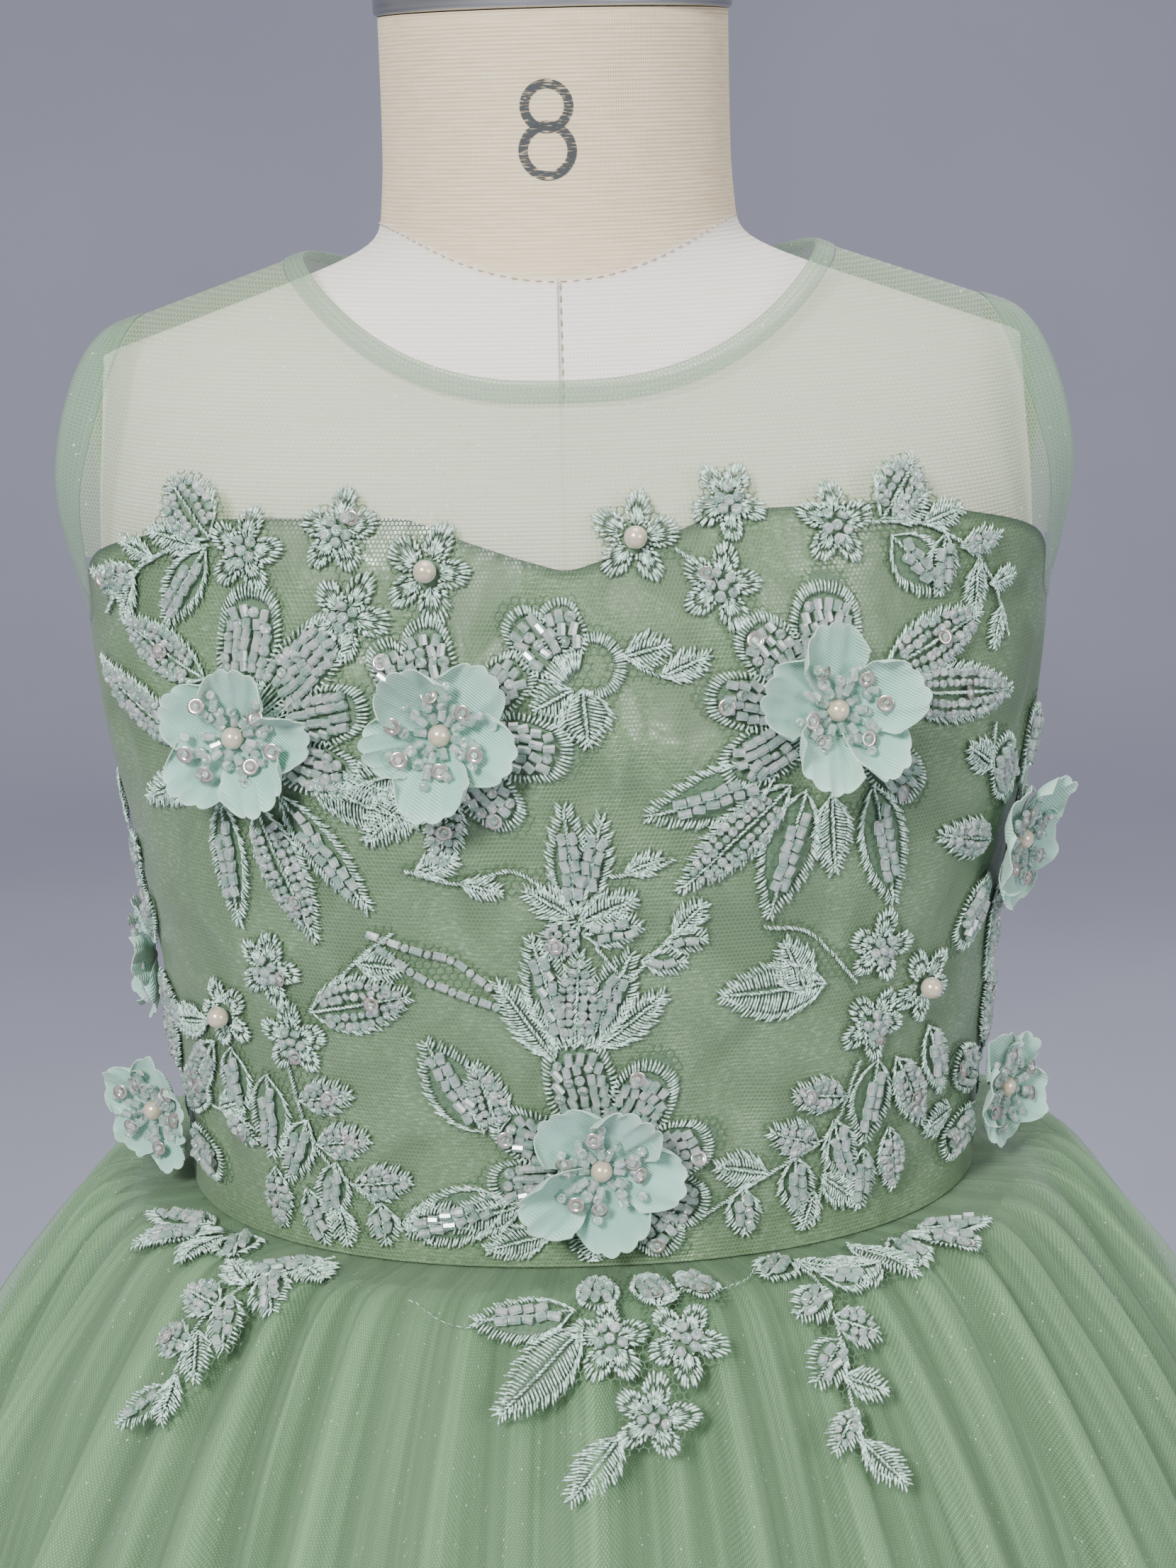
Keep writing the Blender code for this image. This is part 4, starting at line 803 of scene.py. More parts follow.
def yoke_grid(side, hand, columns=49, rows=34):
    """Half a yoke from the centre to the armhole: points, from the satin's edge to the top."""
    reach = 1 + SEAM_GAP/NECK_BAND
    corner_x, corner_y, corner_rise = (float(a) for a in armhole_point(YOKE_CORNER, YOKE_RIM))
    last = math.degrees(math.atan2(corner_x, abs(corner_y)))
    first = 0.0 if side < 0 else back_angle(ZIP_GAP)
    neck_first = 0.0 if side < 0 else NECK_ZIP_EDGE
    k = np.linspace(0, 12, columns)
    degrees = first + (last - first)*k/12
    facing = degrees if side < 0 else 180 - degrees
    neck = neck_first + (1 - neck_first)*np.minimum(1, k/7)
    shoulder = np.maximum(0, (k - 7)/5)
    x, rise = neckline(neck, reach, side)
    start = NECK_POINT + NECK_BAND*reach
    over = start + (armhole_point(0.0, YOKE_RIM)[0] - start)*shoulder
    top_x = np.where(shoulder > 0, over, x)
    top_rise = np.where(shoulder > 0, shoulder_rise(over), rise)
    low_rise = satin_top(facing) + SEAM_GAP
    low_rise[-1] = corner_rise
    low_x = np.abs(body_at(DRESS, facing, low_rise)[:, 0])
    climb = np.sin(np.linspace(0, 1, rows)[:, None]*np.pi/2)
    rim_x, _, rim_rise = armhole_point(YOKE_CORNER*(1 - climb), YOKE_RIM)
    share = ((degrees/last)**4)[None]
    x = low_x + (top_x - low_x)*climb
    rise = low_rise + (top_rise - low_rise)*climb
    x = x + share*(rim_x - x[:, -1:])
    rise = rise + share*(rim_rise - rise[:, -1:])
    y = np.maximum(body_depth(DRESS, x, rise, side), HALF_SEAM)
    return np.stack([hand*x, side*y, WAIST + rise], -1)


def build_yoke():
    net = sheer_material("sheer_yoke_net", NET_GREEN, 0.20, 0.66)
    front = np.concatenate([yoke_grid(-1, -1)[:, :0:-1], yoke_grid(-1, 1)], 1)
    sheets = (("yoke_front", front, 0.30, 0.022), ("yoke_back_left", yoke_grid(1, -1), 0.15, 0.0125),
              ("yoke_back_right", yoke_grid(1, 1)[:, ::-1], 0.15, 0.0125))
    for name, points, width, area in sheets:
        piece = grid_piece("net_" + name, points, points[..., 0]*1.15, points[..., 2] - WAIST, net)
        belongs(piece, name)


build_yoke()


# Bands: a strip of the same net, folded over the neck edge and round each armhole, and stitched
# down. Three layers lie together, so they show a deeper green than the yoke.
# place across the strip (0 is the fold, 1 the seam) and height off the cloth, from inside to outside
BAND_LAYERS = [(1.0, -0.0008), (0.6, -0.0009), (0.2, -0.0008), (0.0, -0.0002), (0.03, 0.0004),
               (0.25, 0.0007), (0.6, 0.0007), (0.9, 0.0006), (1.0, 0.0003)]


def band_piece(name, points, length, width, net, closed=False):
    """A folded band through rows of points, which is net over its named part."""
    run, along = np.meshgrid(length, np.linspace(0, width, len(points)))
    piece = grid_piece("net_" + name, points, run, along, net, closed=closed)
    belongs(piece, name)


def build_bands():
    net = sheer_material("folded_band_net", (0.26, 0.43, 0.25), 0.24, 0.62)
    back = np.linspace(NECK_ZIP_EDGE, 1, 61)
    necks = (("neckband_front", -1, np.linspace(-1, 1, 121)), ("neckband_back_left", 1, -back),
             ("neckband_back_right", 1, back[::-1]))
    for name, side, across in necks:
        rows = []
        for reach, lift in BAND_LAYERS:
            x, rise = neckline(across, reach, side)
            y = np.maximum(body_depth(DRESS, np.abs(x), rise, side), HALF_SEAM)
            normal = cloth_normal(np.abs(x), rise, side)
            normal[:, 0] *= np.sign(x)
            rows.append(np.stack([x, side*y, WAIST + rise], -1) + normal*lift)
        points = np.array(rows)[::-1]
        run = path_length(points[4])
        band_piece(name, points, run, 0.0115, net)
    for hand, name in ((-1, "armband_left"), (1, "armband_right")):
        turns = np.linspace(0, 360, 145)[:-1][::-hand]
        rows = []
        for reach, lift in BAND_LAYERS:
            x, y, rise = armhole_point(turns, reach)
            normals = np.where(y[:, None] < 0, cloth_normal(x, rise, -1), cloth_normal(x, rise, 1))
            level = np.clip(np.abs(y)/0.006, 0, 1)[:, None]
            upright = np.stack([np.full(len(x), 0.8), 0*x, 0.4*np.sign(rise - 0.2)], -1)
            normals = unit(normals*level + upright*(1 - level))
            point = np.stack([x, y, WAIST + rise], -1) + normals*lift
            point[:, 0] *= hand
            rows.append(point)
        run = np.linspace(0, 0.27, len(turns) + 1)
        band_piece(name, np.array(rows), run, 0.019, net, closed=True)


build_bands()


# Skirt: two layers of glitter tulle, gathered into the waist seam over a plain green under-skirt.
# The gathers open into soft folds that run into each other on the way down to the floor.
TULLE_GREEN = (0.228, 0.419, 0.209)
LINING_GREEN = (0.153, 0.260, 0.130)
GATHERS = 56
# the flat cloth all the way round and down, and the share of it left when the gores are cut
TULLE_WIDTH = 3.6
LINING_WIDTH = 2.6
HEM = 0.018 - WAIST
# way down the cloth from the seam, spread from the waist, rise, fold depth, share of merged folds
OUTER = np.array([(0.000, 0.0000, -0.0003, 0.0010, 0.00), (0.018, 0.0180, 0.0002, 0.0025, 0.00),
                  (0.051, 0.0420, -0.0220, 0.0042, 0.30), (0.162, 0.0950, -0.1200, 0.0080, 0.80),
                  (0.867, 0.3650, HEM, 0.0240, 0.85)])
UNDER = np.array([(0.000, -0.0034, -0.0003, 0.0000), (0.024, 0.0150, -0.0160, 0.0010),
                  (0.087, 0.0480, -0.0700, 0.0020), (0.265, 0.1160, -0.2350, 0.0040),
                  (0.829, 0.2980, HEM + 0.004, 0.0100)])


def waist_ring(turns):
    """Points of the waist and the level directions out of it, at parts of a turn from centre front."""
    degrees = (np.asarray(turns)*360 + 180) % 360 - 180
    angle = np.radians(degrees)
    out = np.stack([np.sin(angle), -np.cos(angle), np.zeros(angle.shape)], -1)
    return body_at(DRESS, degrees, 0.0), out


def flare(table, path):
    """Spread from the waist and rise at places down the cloth, then the table's other columns."""
    spread, rise = (smooth_values(table[:, 0], table[:, k], path) for k in (1, 2))
    return spread, rise, *(np.interp(path, table[:, 0], column) for column in table.T[3:])


def tulle_points(turns, path, inset, shift, depth_share):
    """Points of a gathered layer, with how far each lies in a hollow, for painted shade; shift moves its
    folds sideways.
    """
    spread, rise, fold, merge = flare(OUTER, path)
    phase = turns*GATHERS*2*np.pi
    uneven = 0.0045*np.sin(phase/8) + 0.0030*np.sin(phase/14 + 1.0) + 0.0012*np.sin(phase/3.5)
    size = 1 + 0.25*np.sin(phase/7 + 0.6)
    narrow = np.cos(phase + shift) + 0.12*np.cos(2*phase + 0.7 + shift + 2.0*np.sin(phase/5))
    wide = np.cos(phase/2 + shift) + 0.20*np.cos(phase + 1.1 + shift)
    wave = (1 - merge)*narrow*size + merge*wide*(2 - size)
    fine = np.cos(phase*1.5 + 3.0*np.sin(phase/6) + shift)*np.exp(-path/0.07)*0.0010
    drift = 0.0034*np.sin(phase/3 + path*22 + 1.5*np.sin(phase/11))*np.clip(path/0.12, 0, 1)
    sway = 0.0011*np.sin(path*17 + phase/9)*np.clip(path/0.25, 0, 1)
    base, out = waist_ring(turns + uneven + sway/2)
    points = base + out*(spread + (fold*wave + drift)*depth_share + fine - inset)[..., None]
    points[..., 2] = WAIST + rise
    return points, np.clip(0.5 - 0.42*wave*depth_share, 0, 1)


def glitter_material(name, colour, holes, solid):
    """Tulle: fine hexagon net, drawn into threads along the folds, with specks of glitter and painted
    shade in the folds.
    """
    mat, tree, shader = new_material(name, 0.52, Sheen_Weight=0.15)
    chart = cloth_map(tree)
    mask = net_mask(turned_map(chart, 0.45), 0.0015, 0.20)
    streak = noise(chart, (130.0, 6.0, 1.0), 3.0)
    # Painted shade: the green goes from 1.28 times on the fold crests to 0.46 times deep in the hollows.
    hollow = times(marked(tree, "hollow"), 0.80)
    depth = maths("SUBTRACT", hollow, times(streak, 0.45))
    tone = blend(maths("ADD", depth, 0.28), shade(colour, 1.28), shade(colour, 0.46))
    shown = glints(chart, 380.0, 0.09, 0.15, 0.86)
    cover = ramp(mask, 0.0, 1.0, holes, solid)
    cover = maths("ADD", cover, ramp(streak, 0.3, 0.7, -0.10, 0.12), clamp=True)
    join(shader, Base_Color=blend(shown, tone, (0.80, 0.88, 0.76)),
         Alpha=maths("MAXIMUM", cover, shown), Roughness=ramp(shown, 0.0, 1.0, 0.60, 0.18))
    bump(shader, maths("ADD", mask, times(streak, 2.0)), 0.00012)
    return mat


def lining_material():
    mat, tree, shader = new_material("matt_green_lining", 0.62, Sheen_Weight=0.2)
    chart = cloth_map(tree)
    join(shader, Base_Color=blend(noise(chart, 18.0), shade(LINING_GREEN, 0.85), LINING_GREEN))
    bump(shader, weave_at(chart, 0.0007)[0], 0.00005)
    return mat


def build_skirt():
    gap = HALF_SEAM/(2*math.pi*0.11)
    paths = np.concatenate([np.linspace(0, 0.018, 7), np.linspace(0.023, 0.16, 22),
                            np.linspace(0.18, 0.867, 26)])
    outer = glitter_material("glitter_tulle", TULLE_GREEN, 0.30, 0.78)
    # The second layer is a darker copy of the same tulle: painted shade for the layer behind.
    inner = glitter_material("glitter_tulle_under_shaded_copy", shade(TULLE_GREEN, 0.80), 0.34, 0.80)
    layers = (("front", -0.25, 0.25, outer), ("back_left", -0.5, -0.25, outer),
              ("back_right", 0.25, 0.5, outer), ("second_front", -0.25, 0.25, inner),
              ("second_back", 0.25, 0.75, inner))
    for name, first, last, mat in layers:
        inset, shift, depth_share = (0.0, 0.0, 1.0) if mat == outer else (0.0052, 2.4, 0.75)
        columns = round((last - first)*GATHERS*10) + 1
        turns, path = np.meshgrid(np.linspace(first + gap, last - gap, columns), paths[::-1])
        room = inset*np.clip(path/0.05, 0.25, 1)*(1 + 1.5*np.clip(path/0.6, 0, 1))
        points, hollow = tulle_points(turns, path, room, shift, depth_share)
        piece = grid_piece("tulle_" + name, points, turns*TULLE_WIDTH, path, mat)
        # The hollow mark is read by the tulle's material to paint shade into the folds.
        mark(piece, "hollow", hollow)
        belongs(piece, "skirt_outer_" + name if mat == outer else None)
    lining = lining_material()
    paths = np.concatenate([np.linspace(0, 0.03, 6), np.linspace(0.04, 0.829, 34)])
    for name, first in (("front", -0.25), ("back", 0.25)):
        turns, path = np.meshgrid(np.linspace(first + gap, first + 0.5 - gap, 193), paths[::-1])
        spread, rise, fold = flare(UNDER, path)
        wave = np.cos(turns*24*np.pi) + 0.35*np.cos(turns*62*np.pi + 1.3)
        base, out = waist_ring(turns)
        points = base + out*(spread + fold*wave*0.8)[..., None]
        points[..., 2] = WAIST + rise
        piece = grid_piece("lining_" + name, points, turns*LINING_WIDTH, path, lining)
        belongs(piece, "skirt_under_" + name)


build_skirt()


# Zip: an invisible-style chain at centre back, from the waist seam to the neck edge. Its teeth are
# two rows of nylon coil on woven tape, closed by a small die-cast slider with a flat pull tab.
ZIP_HALF_WIDTH = 0.0025
TAPE_HALF_WIDTH = 0.0060
ZIP_PROUD = 0.0008
COIL_PITCH = 0.00125
SLIDER_RISE = 0.2360
SLIDER_SIZE = (0.0070, 0.0022, 0.0090)
SLIDER_GAP = 0.0005
PULL_GAP = 0.0005
PULL_SIZE = (0.0045, 0.0009, 0.0170)
PULL_TOP = 0.0035
PULL_EYE = 0.0010
ZIP_METAL = (0.62, 0.64, 0.60)
TAPE_GREEN = (0.16, 0.24, 0.15)


def turned_mesh(name, places, axes, sizes, profile, sides, mat, hollow=False):
    """Many small turned pieces in one mesh: profile rows are (radius, along) for a size of 1."""
    places, axes = (np.asarray(rows, float).reshape(-1, 3) for rows in (places, axes))
    axes = unit(axes)
    sizes = np.broadcast_to(np.asarray(sizes, float), (len(places),))[:, None]
    lean = np.where(np.abs(axes[:, 2:]) < 0.9, np.array([[0, 0, 1.0]]), np.array([[1.0, 0, 0]]))
    right = unit(np.cross(lean, axes))
    ahead = np.cross(axes, right)
    verts, rings = [], []
    for radius, along in profile:
        turn = np.linspace(0, 2*math.pi, sides, endpoint=False) if radius > 0 else np.zeros(1)
        rings.append(list(range(len(verts), len(verts) + len(turn))))
        for t in turn:
            offset = right*math.cos(t)*radius + ahead*math.sin(t)*radius + axes*along
            verts.append(places + offset*sizes)
    faces = []
    for low, high in list(zip(rings, rings[1:])) + ([(rings[-1], rings[0])] if hollow else []):
        for k in range(sides):
            around = ((low, k), (low, k + 1), (high, k + 1), (high, k))
            corners = [ring[n % len(ring)] for ring, n in around]
            faces.append(tuple(dict.fromkeys(corners)))
    step = len(verts)
    every = [tuple(i + step*n for i in face) for n in range(len(places)) for face in faces]
    return add_mesh(name, np.stack(verts, 1).reshape(-1, 3).tolist(), every, mat)


def zip_line(rises):
    """Points of the centre back line, with the unit vectors out of the cloth and up it."""
    rises = np.asarray(rises, float)
    flat = np.zeros(rises.shape)
    above, below = (body_depth(DRESS, flat, rises + step, 1) for step in (0.001, -0.001))
    out = unit(np.stack([flat, flat + 1, -(above - below)/0.002], -1))
    points = np.stack([flat, body_depth(DRESS, flat, rises, 1), WAIST + rises], -1)
    return points, out, np.stack([flat, -out[..., 2], out[..., 1]], -1)


def build_zip_chain():
    tape, tree, shader = new_material("woven_zip_tape", 0.75)
    thread, slub = weave_at(cloth_map(tree), 0.0006)
    join(shader, Base_Color=blend(slub, TAPE_GREEN, (0.24, 0.33, 0.22)))
    bump(shader, thread, 0.0001)
    rises = np.linspace(0.0002, NECKLINE_BACK - 0.0002, 80)
    seam, out, _ = zip_line(rises)
    shares = np.linspace(1, -1, 15)
    tucked = -0.0012*np.clip((np.abs(shares)*TAPE_HALF_WIDTH - ZIP_HALF_WIDTH)/0.0015 + 0.5, 0, 1)
    rows = seam[:, None] + out[:, None]*tucked[None, :, None]
    rows[..., 0] += shares[None]*TAPE_HALF_WIDTH
    across, along = np.meshgrid(-shares*TAPE_HALF_WIDTH, rises)
    woven = grid_piece("zip_tape", rows, across, along, tape)
    coil, _, _ = mottled_material("green_nylon_coil", 0.38, 700.0, (0.20, 0.30, 0.19),
                                  (0.34, 0.46, 0.31))
    places, axes = [], []
    for rise in np.arange(0.002, NECKLINE_BACK - 0.002, COIL_PITCH):
        for hand in (-1, 1):
            point, normal, up = zip_line(rise + hand*COIL_PITCH/4)
            places.append(point + normal*0.00042 + np.array([hand*0.00055, 0, 0]))
            axes.append(np.array([1.0, 0, 0]) + up*0.18*hand)
    profile = ((0, -0.00115), (0.00030, -0.00100), (0.00036, 0), (0.00030, 0.00100), (0, 0.00115))
    teeth = turned_mesh("zip_coil", places, axes, 1.0, profile, 6, coil)
    belongs(woven, "zip_chain")
    belongs(teeth)


def on_slider(piece, mat):
    """Takes a piece modelled across, out of the cloth and up the zip to its place on the chain."""
    settle(piece, mat)
    seam, out, up = zip_line(SLIDER_RISE)
    seat = seam + out*(ZIP_PROUD + SLIDER_GAP)
    turn = np.stack([np.array([1.0, 0, 0]), out, up], 1)
    piece.data.transform(Matrix.Translation(seat) @ Matrix(turn.tolist()).to_4x4())


def build_slider_body(metal):
    """The die-cast body: a block, narrower at the foot, with a shallow hollow in its outer face."""
    width, thick, length = SLIDER_SIZE
    bpy.ops.object.select_all(action="DESELECT")
    bpy.ops.mesh.primitive_cube_add(size=1.0, location=(0, thick/2, 0), scale=(width, thick, length))
    body = bpy.context.object
    body.name = "zip_slider_body"
    bpy.ops.object.transform_apply(location=True, rotation=True, scale=True)
    to_edit(lambda face: face.normal.z < -0.9)
    bpy.ops.transform.resize(value=(0.62, 1, 1))
    bpy.ops.object.mode_set(mode="OBJECT")
    to_edit(lambda face: face.normal.y > 0.9)
    bpy.ops.mesh.inset(thickness=0.0011)
    bpy.ops.transform.translate(value=(0, -0.0004, 0))
    bpy.ops.object.mode_set(mode="OBJECT")
    round_bevel(body, 0.0004, 2, 0.4)
    on_slider(body, metal)
    belongs(body, "zip_slider")


def build_pull_tab(metal):
    """The flat tab, rounded at its foot, with a small eye for the hinge."""
    thick = SLIDER_SIZE[1]
    wide, flat, long = PULL_SIZE
    count = 48
    turn = np.linspace(0, 2*math.pi, count, endpoint=False)
    middle = PULL_TOP - long/2
    low, high = thick + PULL_GAP, thick + PULL_GAP + flat
    across = np.sign(np.cos(turn))*np.abs(np.cos(turn))**0.7*wide/2*(1 - 0.12*np.sin(turn))
    along = np.sign(np.sin(turn))*np.abs(np.sin(turn))**0.55*long/2
    bm = bmesh.new()
    outer = [bm.verts.new((x, low, middle + z)) for x, z in zip(across, along)]
    hole = PULL_TOP - 0.0022
    eye = [bm.verts.new((PULL_EYE*math.cos(t), low, hole + PULL_EYE*math.sin(t))) for t in turn]
    for k in range(count):
        bm.faces.new((outer[k], outer[(k + 1) % count], eye[(k + 1) % count], eye[k]))
    thickened = bmesh.ops.extrude_face_region(bm, geom=bm.faces[:])["geom"]
    bmesh.ops.translate(bm, verts=[v for v in thickened if isinstance(v, bmesh.types.BMVert)],
                        vec=(0, high - low, 0))
    bmesh.ops.recalc_face_normals(bm, faces=bm.faces[:])
    mesh = bpy.data.meshes.new("zip_pull_tab")
    bm.to_mesh(mesh)
    bm.free()
    pull = bpy.data.objects.new("zip_pull_tab", mesh)
    bpy.context.scene.collection.objects.link(pull)
    bpy.context.view_layer.objects.active = pull
    round_bevel(pull, 0.00018, 2, 0.6)
    on_slider(pull, metal)
    belongs(pull, "zip_pull", "pull_tab")


build_zip_chain()
ZIP_PAINT = brushed_material("painted_zip_metal", ZIP_METAL, 0.30, 1200.0)
build_slider_body(ZIP_PAINT)
build_pull_tab(ZIP_PAINT)


# Applique: pieces of coarse green net, machine embroidered with pale mint thread in rosettes,
# leaves, beaded petals and corded stems, then sewn with clear bugle and seed beads and pearls.
# The motif tables are in millimetres: across and up from the group's place, then sizes.
MM = 0.001
THREAD_PALE = (0.76, 0.97, 0.88)
THREAD_DEEP = (0.19, 0.34, 0.23)
BACKING_GREEN = (0.090, 0.165, 0.085)
NET_LIFT = 0.30
CHANCE = np.random.default_rng(12)
draw = CHANCE.uniform


def new_work():
    """An empty set of stitches, beads and covered places for one group, in millimetres."""
    return {"threads": [], "tubes": [], "seeds": [], "pearls": [], "sequins": [], "cover": []}


def stitch(work, start, end, height=0.9, width=0.46):
    """A stitch between two flat places; its middle stands up by height from the net."""
    loose = draw(-0.16, 0.16, 4)
    start, end = np.asarray(start) + loose[:2], np.asarray(end) + loose[2:]
    lift = height*draw(0.8, 1.2)
    work["threads"].append((*start, NET_LIFT + 0.15*lift, *((start + end)/2), NET_LIFT + lift,
                            *end, NET_LIFT + 0.3*lift, width*draw(0.85, 1.2)))


def clock_frame(clock):
    """Flat unit vectors along a direction (0 is up, 90 to the viewer's right) and across it."""
    turn = math.radians(clock)
    return np.array([math.sin(turn), math.cos(turn)]), np.array([math.cos(turn), -math.sin(turn)])


def cover(work, place, radius):
    work["cover"].append((place[0], place[1], radius))


def tube_bead(work, place, run, length=3.2, radius=1.15, height=0.95):
    lift = NET_LIFT + height + radius*0.6
    work["tubes"].append((place[0], place[1], lift, run[0], run[1], length, radius))


def seed_bead(work, place, size=1.2, height=0.7):
    work["seeds"].append((place[0], place[1], NET_LIFT + height + size*0.5, size))


def sequin(work, place, size=2.2, height=1.7):
    work["sequins"].append((place[0], place[1], NET_LIFT + height, size))
    seed_bead(work, place, 0.9, height)


def rosette(work, a, b, radius, turn, centre="beads"):
    """Five rounded petals of radiating stitches round a cluster of beads, or a pearl."""
    middle = np.array([a, b], float)
    for petal in range(5):
        axis = turn + 72*petal + draw(-7, 7)
        run, across = clock_frame(axis)
        reach = radius*draw(0.94, 1.08)
        half = reach*draw(0.29, 0.33)
        root = middle + run*reach*0.24
        for clock in np.arange(-140, 141, 17.5):
            bend = math.radians(clock + draw(-4, 4))
            rim = middle + run*reach*(0.61 + 0.40*math.cos(bend)) + across*half*math.sin(bend)
            inward = root - rim
            parting = draw(0.32, 0.50)
            stitch(work, rim + inward*parting, rim - inward*draw(0.0, 0.10), 1.2, 0.72)
            if abs(clock) < 120:
                inner = rim + inward*draw(0.75, 1.05)
                stitch(work, inner, rim + inward*(parting - 0.04), 0.9, 0.50)
        cover(work, middle + run*reach*0.58, half*0.86)
    cover(work, middle, radius*0.45)
    if centre == "pearl":
        work["pearls"].append((a, b, 2.6, 2.9))
        return
    seed_bead(work, middle, 1.5, 1.5)
    for k in range(5):
        run, _ = clock_frame(turn + 36 + 72*k + draw(-9, 9))
        seed_bead(work, middle + run*draw(2.5, 3.3), draw(1.3, 1.55), 1.3)
    if CHANCE.random() < 0.5:
        run, _ = clock_frame(draw(0, 360))
        sequin(work, middle + run*radius*0.42, 2.0, 1.5)


def leaf(work, a, b, clock, length, width, fill="none"):
    """A pointed leaf: slanting edge stitches, a corded midrib, and beads or stitches between."""
    base = np.array([a, b], float)
    length, width = length*1.06, width*1.16
    run, across = clock_frame(clock)
    half = lambda t: width/2*math.sin(math.pi*min(1, max(0, t))**0.85)**0.85
    for t in np.arange(0.03, 1.0, 0.88/length):
        for side in (-1, 1):
            at = base + run*t*length
            inner = at + across*side*max(0, half(t) - 1.8) - run*1.2
            spike = 0.3 + 1.5*((t*length/3.1 + 0.2*side) % 1)
            stitch(work, inner, at + across*side*(half(t) + spike) + run*(0.8 + 0.4*spike), 1.0, 0.60)
            if fill == "none" and half(t) > 1.1:
                outer = at + across*side*(half(t) - 0.6) + run*0.5
                stitch(work, at + across*side*0.3 - run*1.2, outer, 1.0, 0.60)
    for t in np.arange(0.0, 0.95, 1.0/length):
        at = base + run*t*length
        stitch(work, at - run*0.9 - across*0.45, at + run*0.9 + across*0.45, 1.25, 0.66)
    for t in np.arange(0.05, 1.0, 2.4/length):
        cover(work, base + run*t*length, max(0.8, half(t) - 0.5))
    if fill == "tube":
        for lane in (-1, 1) if width > 8.5 else (0,):
            for t in np.arange(0.26 + 0.06*lane, 0.80, 3.5/length):
                turned = run + across*draw(-0.4, 0.4)
                tube_bead(work, base + run*t*length + across*lane*1.4, turned,
                          draw(2.4, 3.4), height=draw(0.8, 1.4))
    if fill == "seed":
        for side in (-1, 1):
            for t in np.arange(0.18, 0.88, 2.3/length):
                for lane in (0.36, 0.74) if half(t) > 3.4 else (0.45,):
                    if half(t) > 1.7:
                        place = base + run*t*length + across*side*half(t)*lane
                        place = place + draw(-0.25, 0.25, 2)
                        seed_bead(work, place, draw(1.0, 1.35), draw(0.6, 1.2))
        if CHANCE.random() < 0.35:
            sequin(work, base + run*length*draw(0.45, 0.75), 2.1)


def fan(work, a, b, clock, length, width):
    """A beaded petal: a stitched rim round rows of short tubes that point away from the flower."""
    base = np.array([a, b], float)
    run, across = clock_frame(clock)
    middle = base + run*length*0.54
    for turn in np.arange(-148, 149, 0.85/(width/2)*57.3):
        angle = math.radians(turn)
        ray = (run*length*0.46*math.cos(angle)
               + across*width*0.5*math.sin(angle)*(1 + 0.16*math.cos(angle)))
        lean = across*0.5*math.sin(4*angle)
        stitch(work, middle + ray*0.72 + lean*0.4, middle + ray*1.05 + lean, 1.2, 0.64)
    for k in range(9):
        side = (k - 4)/4
        start = base + across*side*width*0.10
        stitch(work, start, base + run*length*0.36 + across*side*width*0.34, 1.1, 0.66)
    rows = max(2, int(round((length*0.60)/3.4)))
    for row in range(rows):
        t = 0.34 + 0.50*(row + 0.5)/rows
        half = width*0.5*math.sqrt(max(0.05, 1 - ((t - 0.54)/0.48)**2))*0.74
        count = max(2, int(half*2/2.45))
        for k in range(count):
            side = (k + 0.5)/count*2 - 1
            turned = run + across*side*0.42
            place = base + run*length*(t - 0.05*side*side) + across*half*side
            place = place + draw(-0.3, 0.3, 2)
            if CHANCE.random() < 0.16:
                seed_bead(work, place, draw(1.3, 1.6), draw(0.8, 1.4))
            else:
                tube_bead(work, place, turned + across*draw(-0.3, 0.3), draw(2.4, 3.5),
                          1.15, draw(0.7, 1.4))
    if CHANCE.random() < 0.45:
        sequin(work, base + run*length*0.80 + across*draw(-0.25, 0.25)*width)
    for t in np.arange(0.08, 1.0, 2.4/length):
        cover(work, base + run*t*length, width*0.45*math.sqrt(max(0.1, 1 - ((t - 0.54)/0.50)**2)))


def smooth_line(points, step):
    """Places every step along a smooth curve through the points, with its directions."""
    points = np.array(points, float)
    ends = np.vstack([2*points[0] - points[1], points, 2*points[-1] - points[-2]])
    t = np.linspace(0, 1, 24, endpoint=False)[:, None]
    fine = [0.5*(2*p1 + (p2 - p0)*t + (2*p0 - 5*p1 + 4*p2 - p3)*t*t + (3*p1 - p0 - 3*p2 + p3)*t**3)
            for p0, p1, p2, p3 in zip(ends, ends[1:], ends[2:], ends[3:])]
    fine = np.vstack(fine + [points[-1:]])
    run = path_length(fine)
    at = np.arange(0, run[-1], step)
    line = np.stack([np.interp(at, run, fine[:, 0]), np.interp(at, run, fine[:, 1])], -1)
    return line, unit(np.gradient(line, axis=0))


def stem(work, *points, width=1.5):
    """A corded stem: slanting stitches laid close over a core."""
    line, runs = smooth_line(points, 0.85)
    for at, run in zip(line, runs):
        across = np.array([run[1], -run[0]])
        stitch(work, at - run*0.8 - across*width*0.42, at + run*0.8 + across*width*0.42, 1.1, 0.50)
    for at in line[::3]:
        cover(work, at, width*0.5)


def loose_thread(work, *points):
    """A thread end left hanging over the cloth."""
    line, runs = smooth_line(points, 2.4)
    for at, run in zip(line, runs):
        stitch(work, at - run*1.3, at + run*1.3, 1.3, 0.22)


def curl(work, a, b, radius, first, last, width):
    """A curled band of satin stitch, from one clock direction to another."""
    middle = np.array([a, b], float)
    for clock in np.arange(first, last, 0.72/radius*57.3):
        run, _ = clock_frame(clock)
        wide = width*(0.45 + 0.55*math.sin(math.pi*(clock - first)/(last - first)))
        stitch(work, middle + run*(radius - wide/2), middle + run*(radius + wide/2), 1.3, 0.55)
        cover(work, middle + run*radius, wide*0.5)


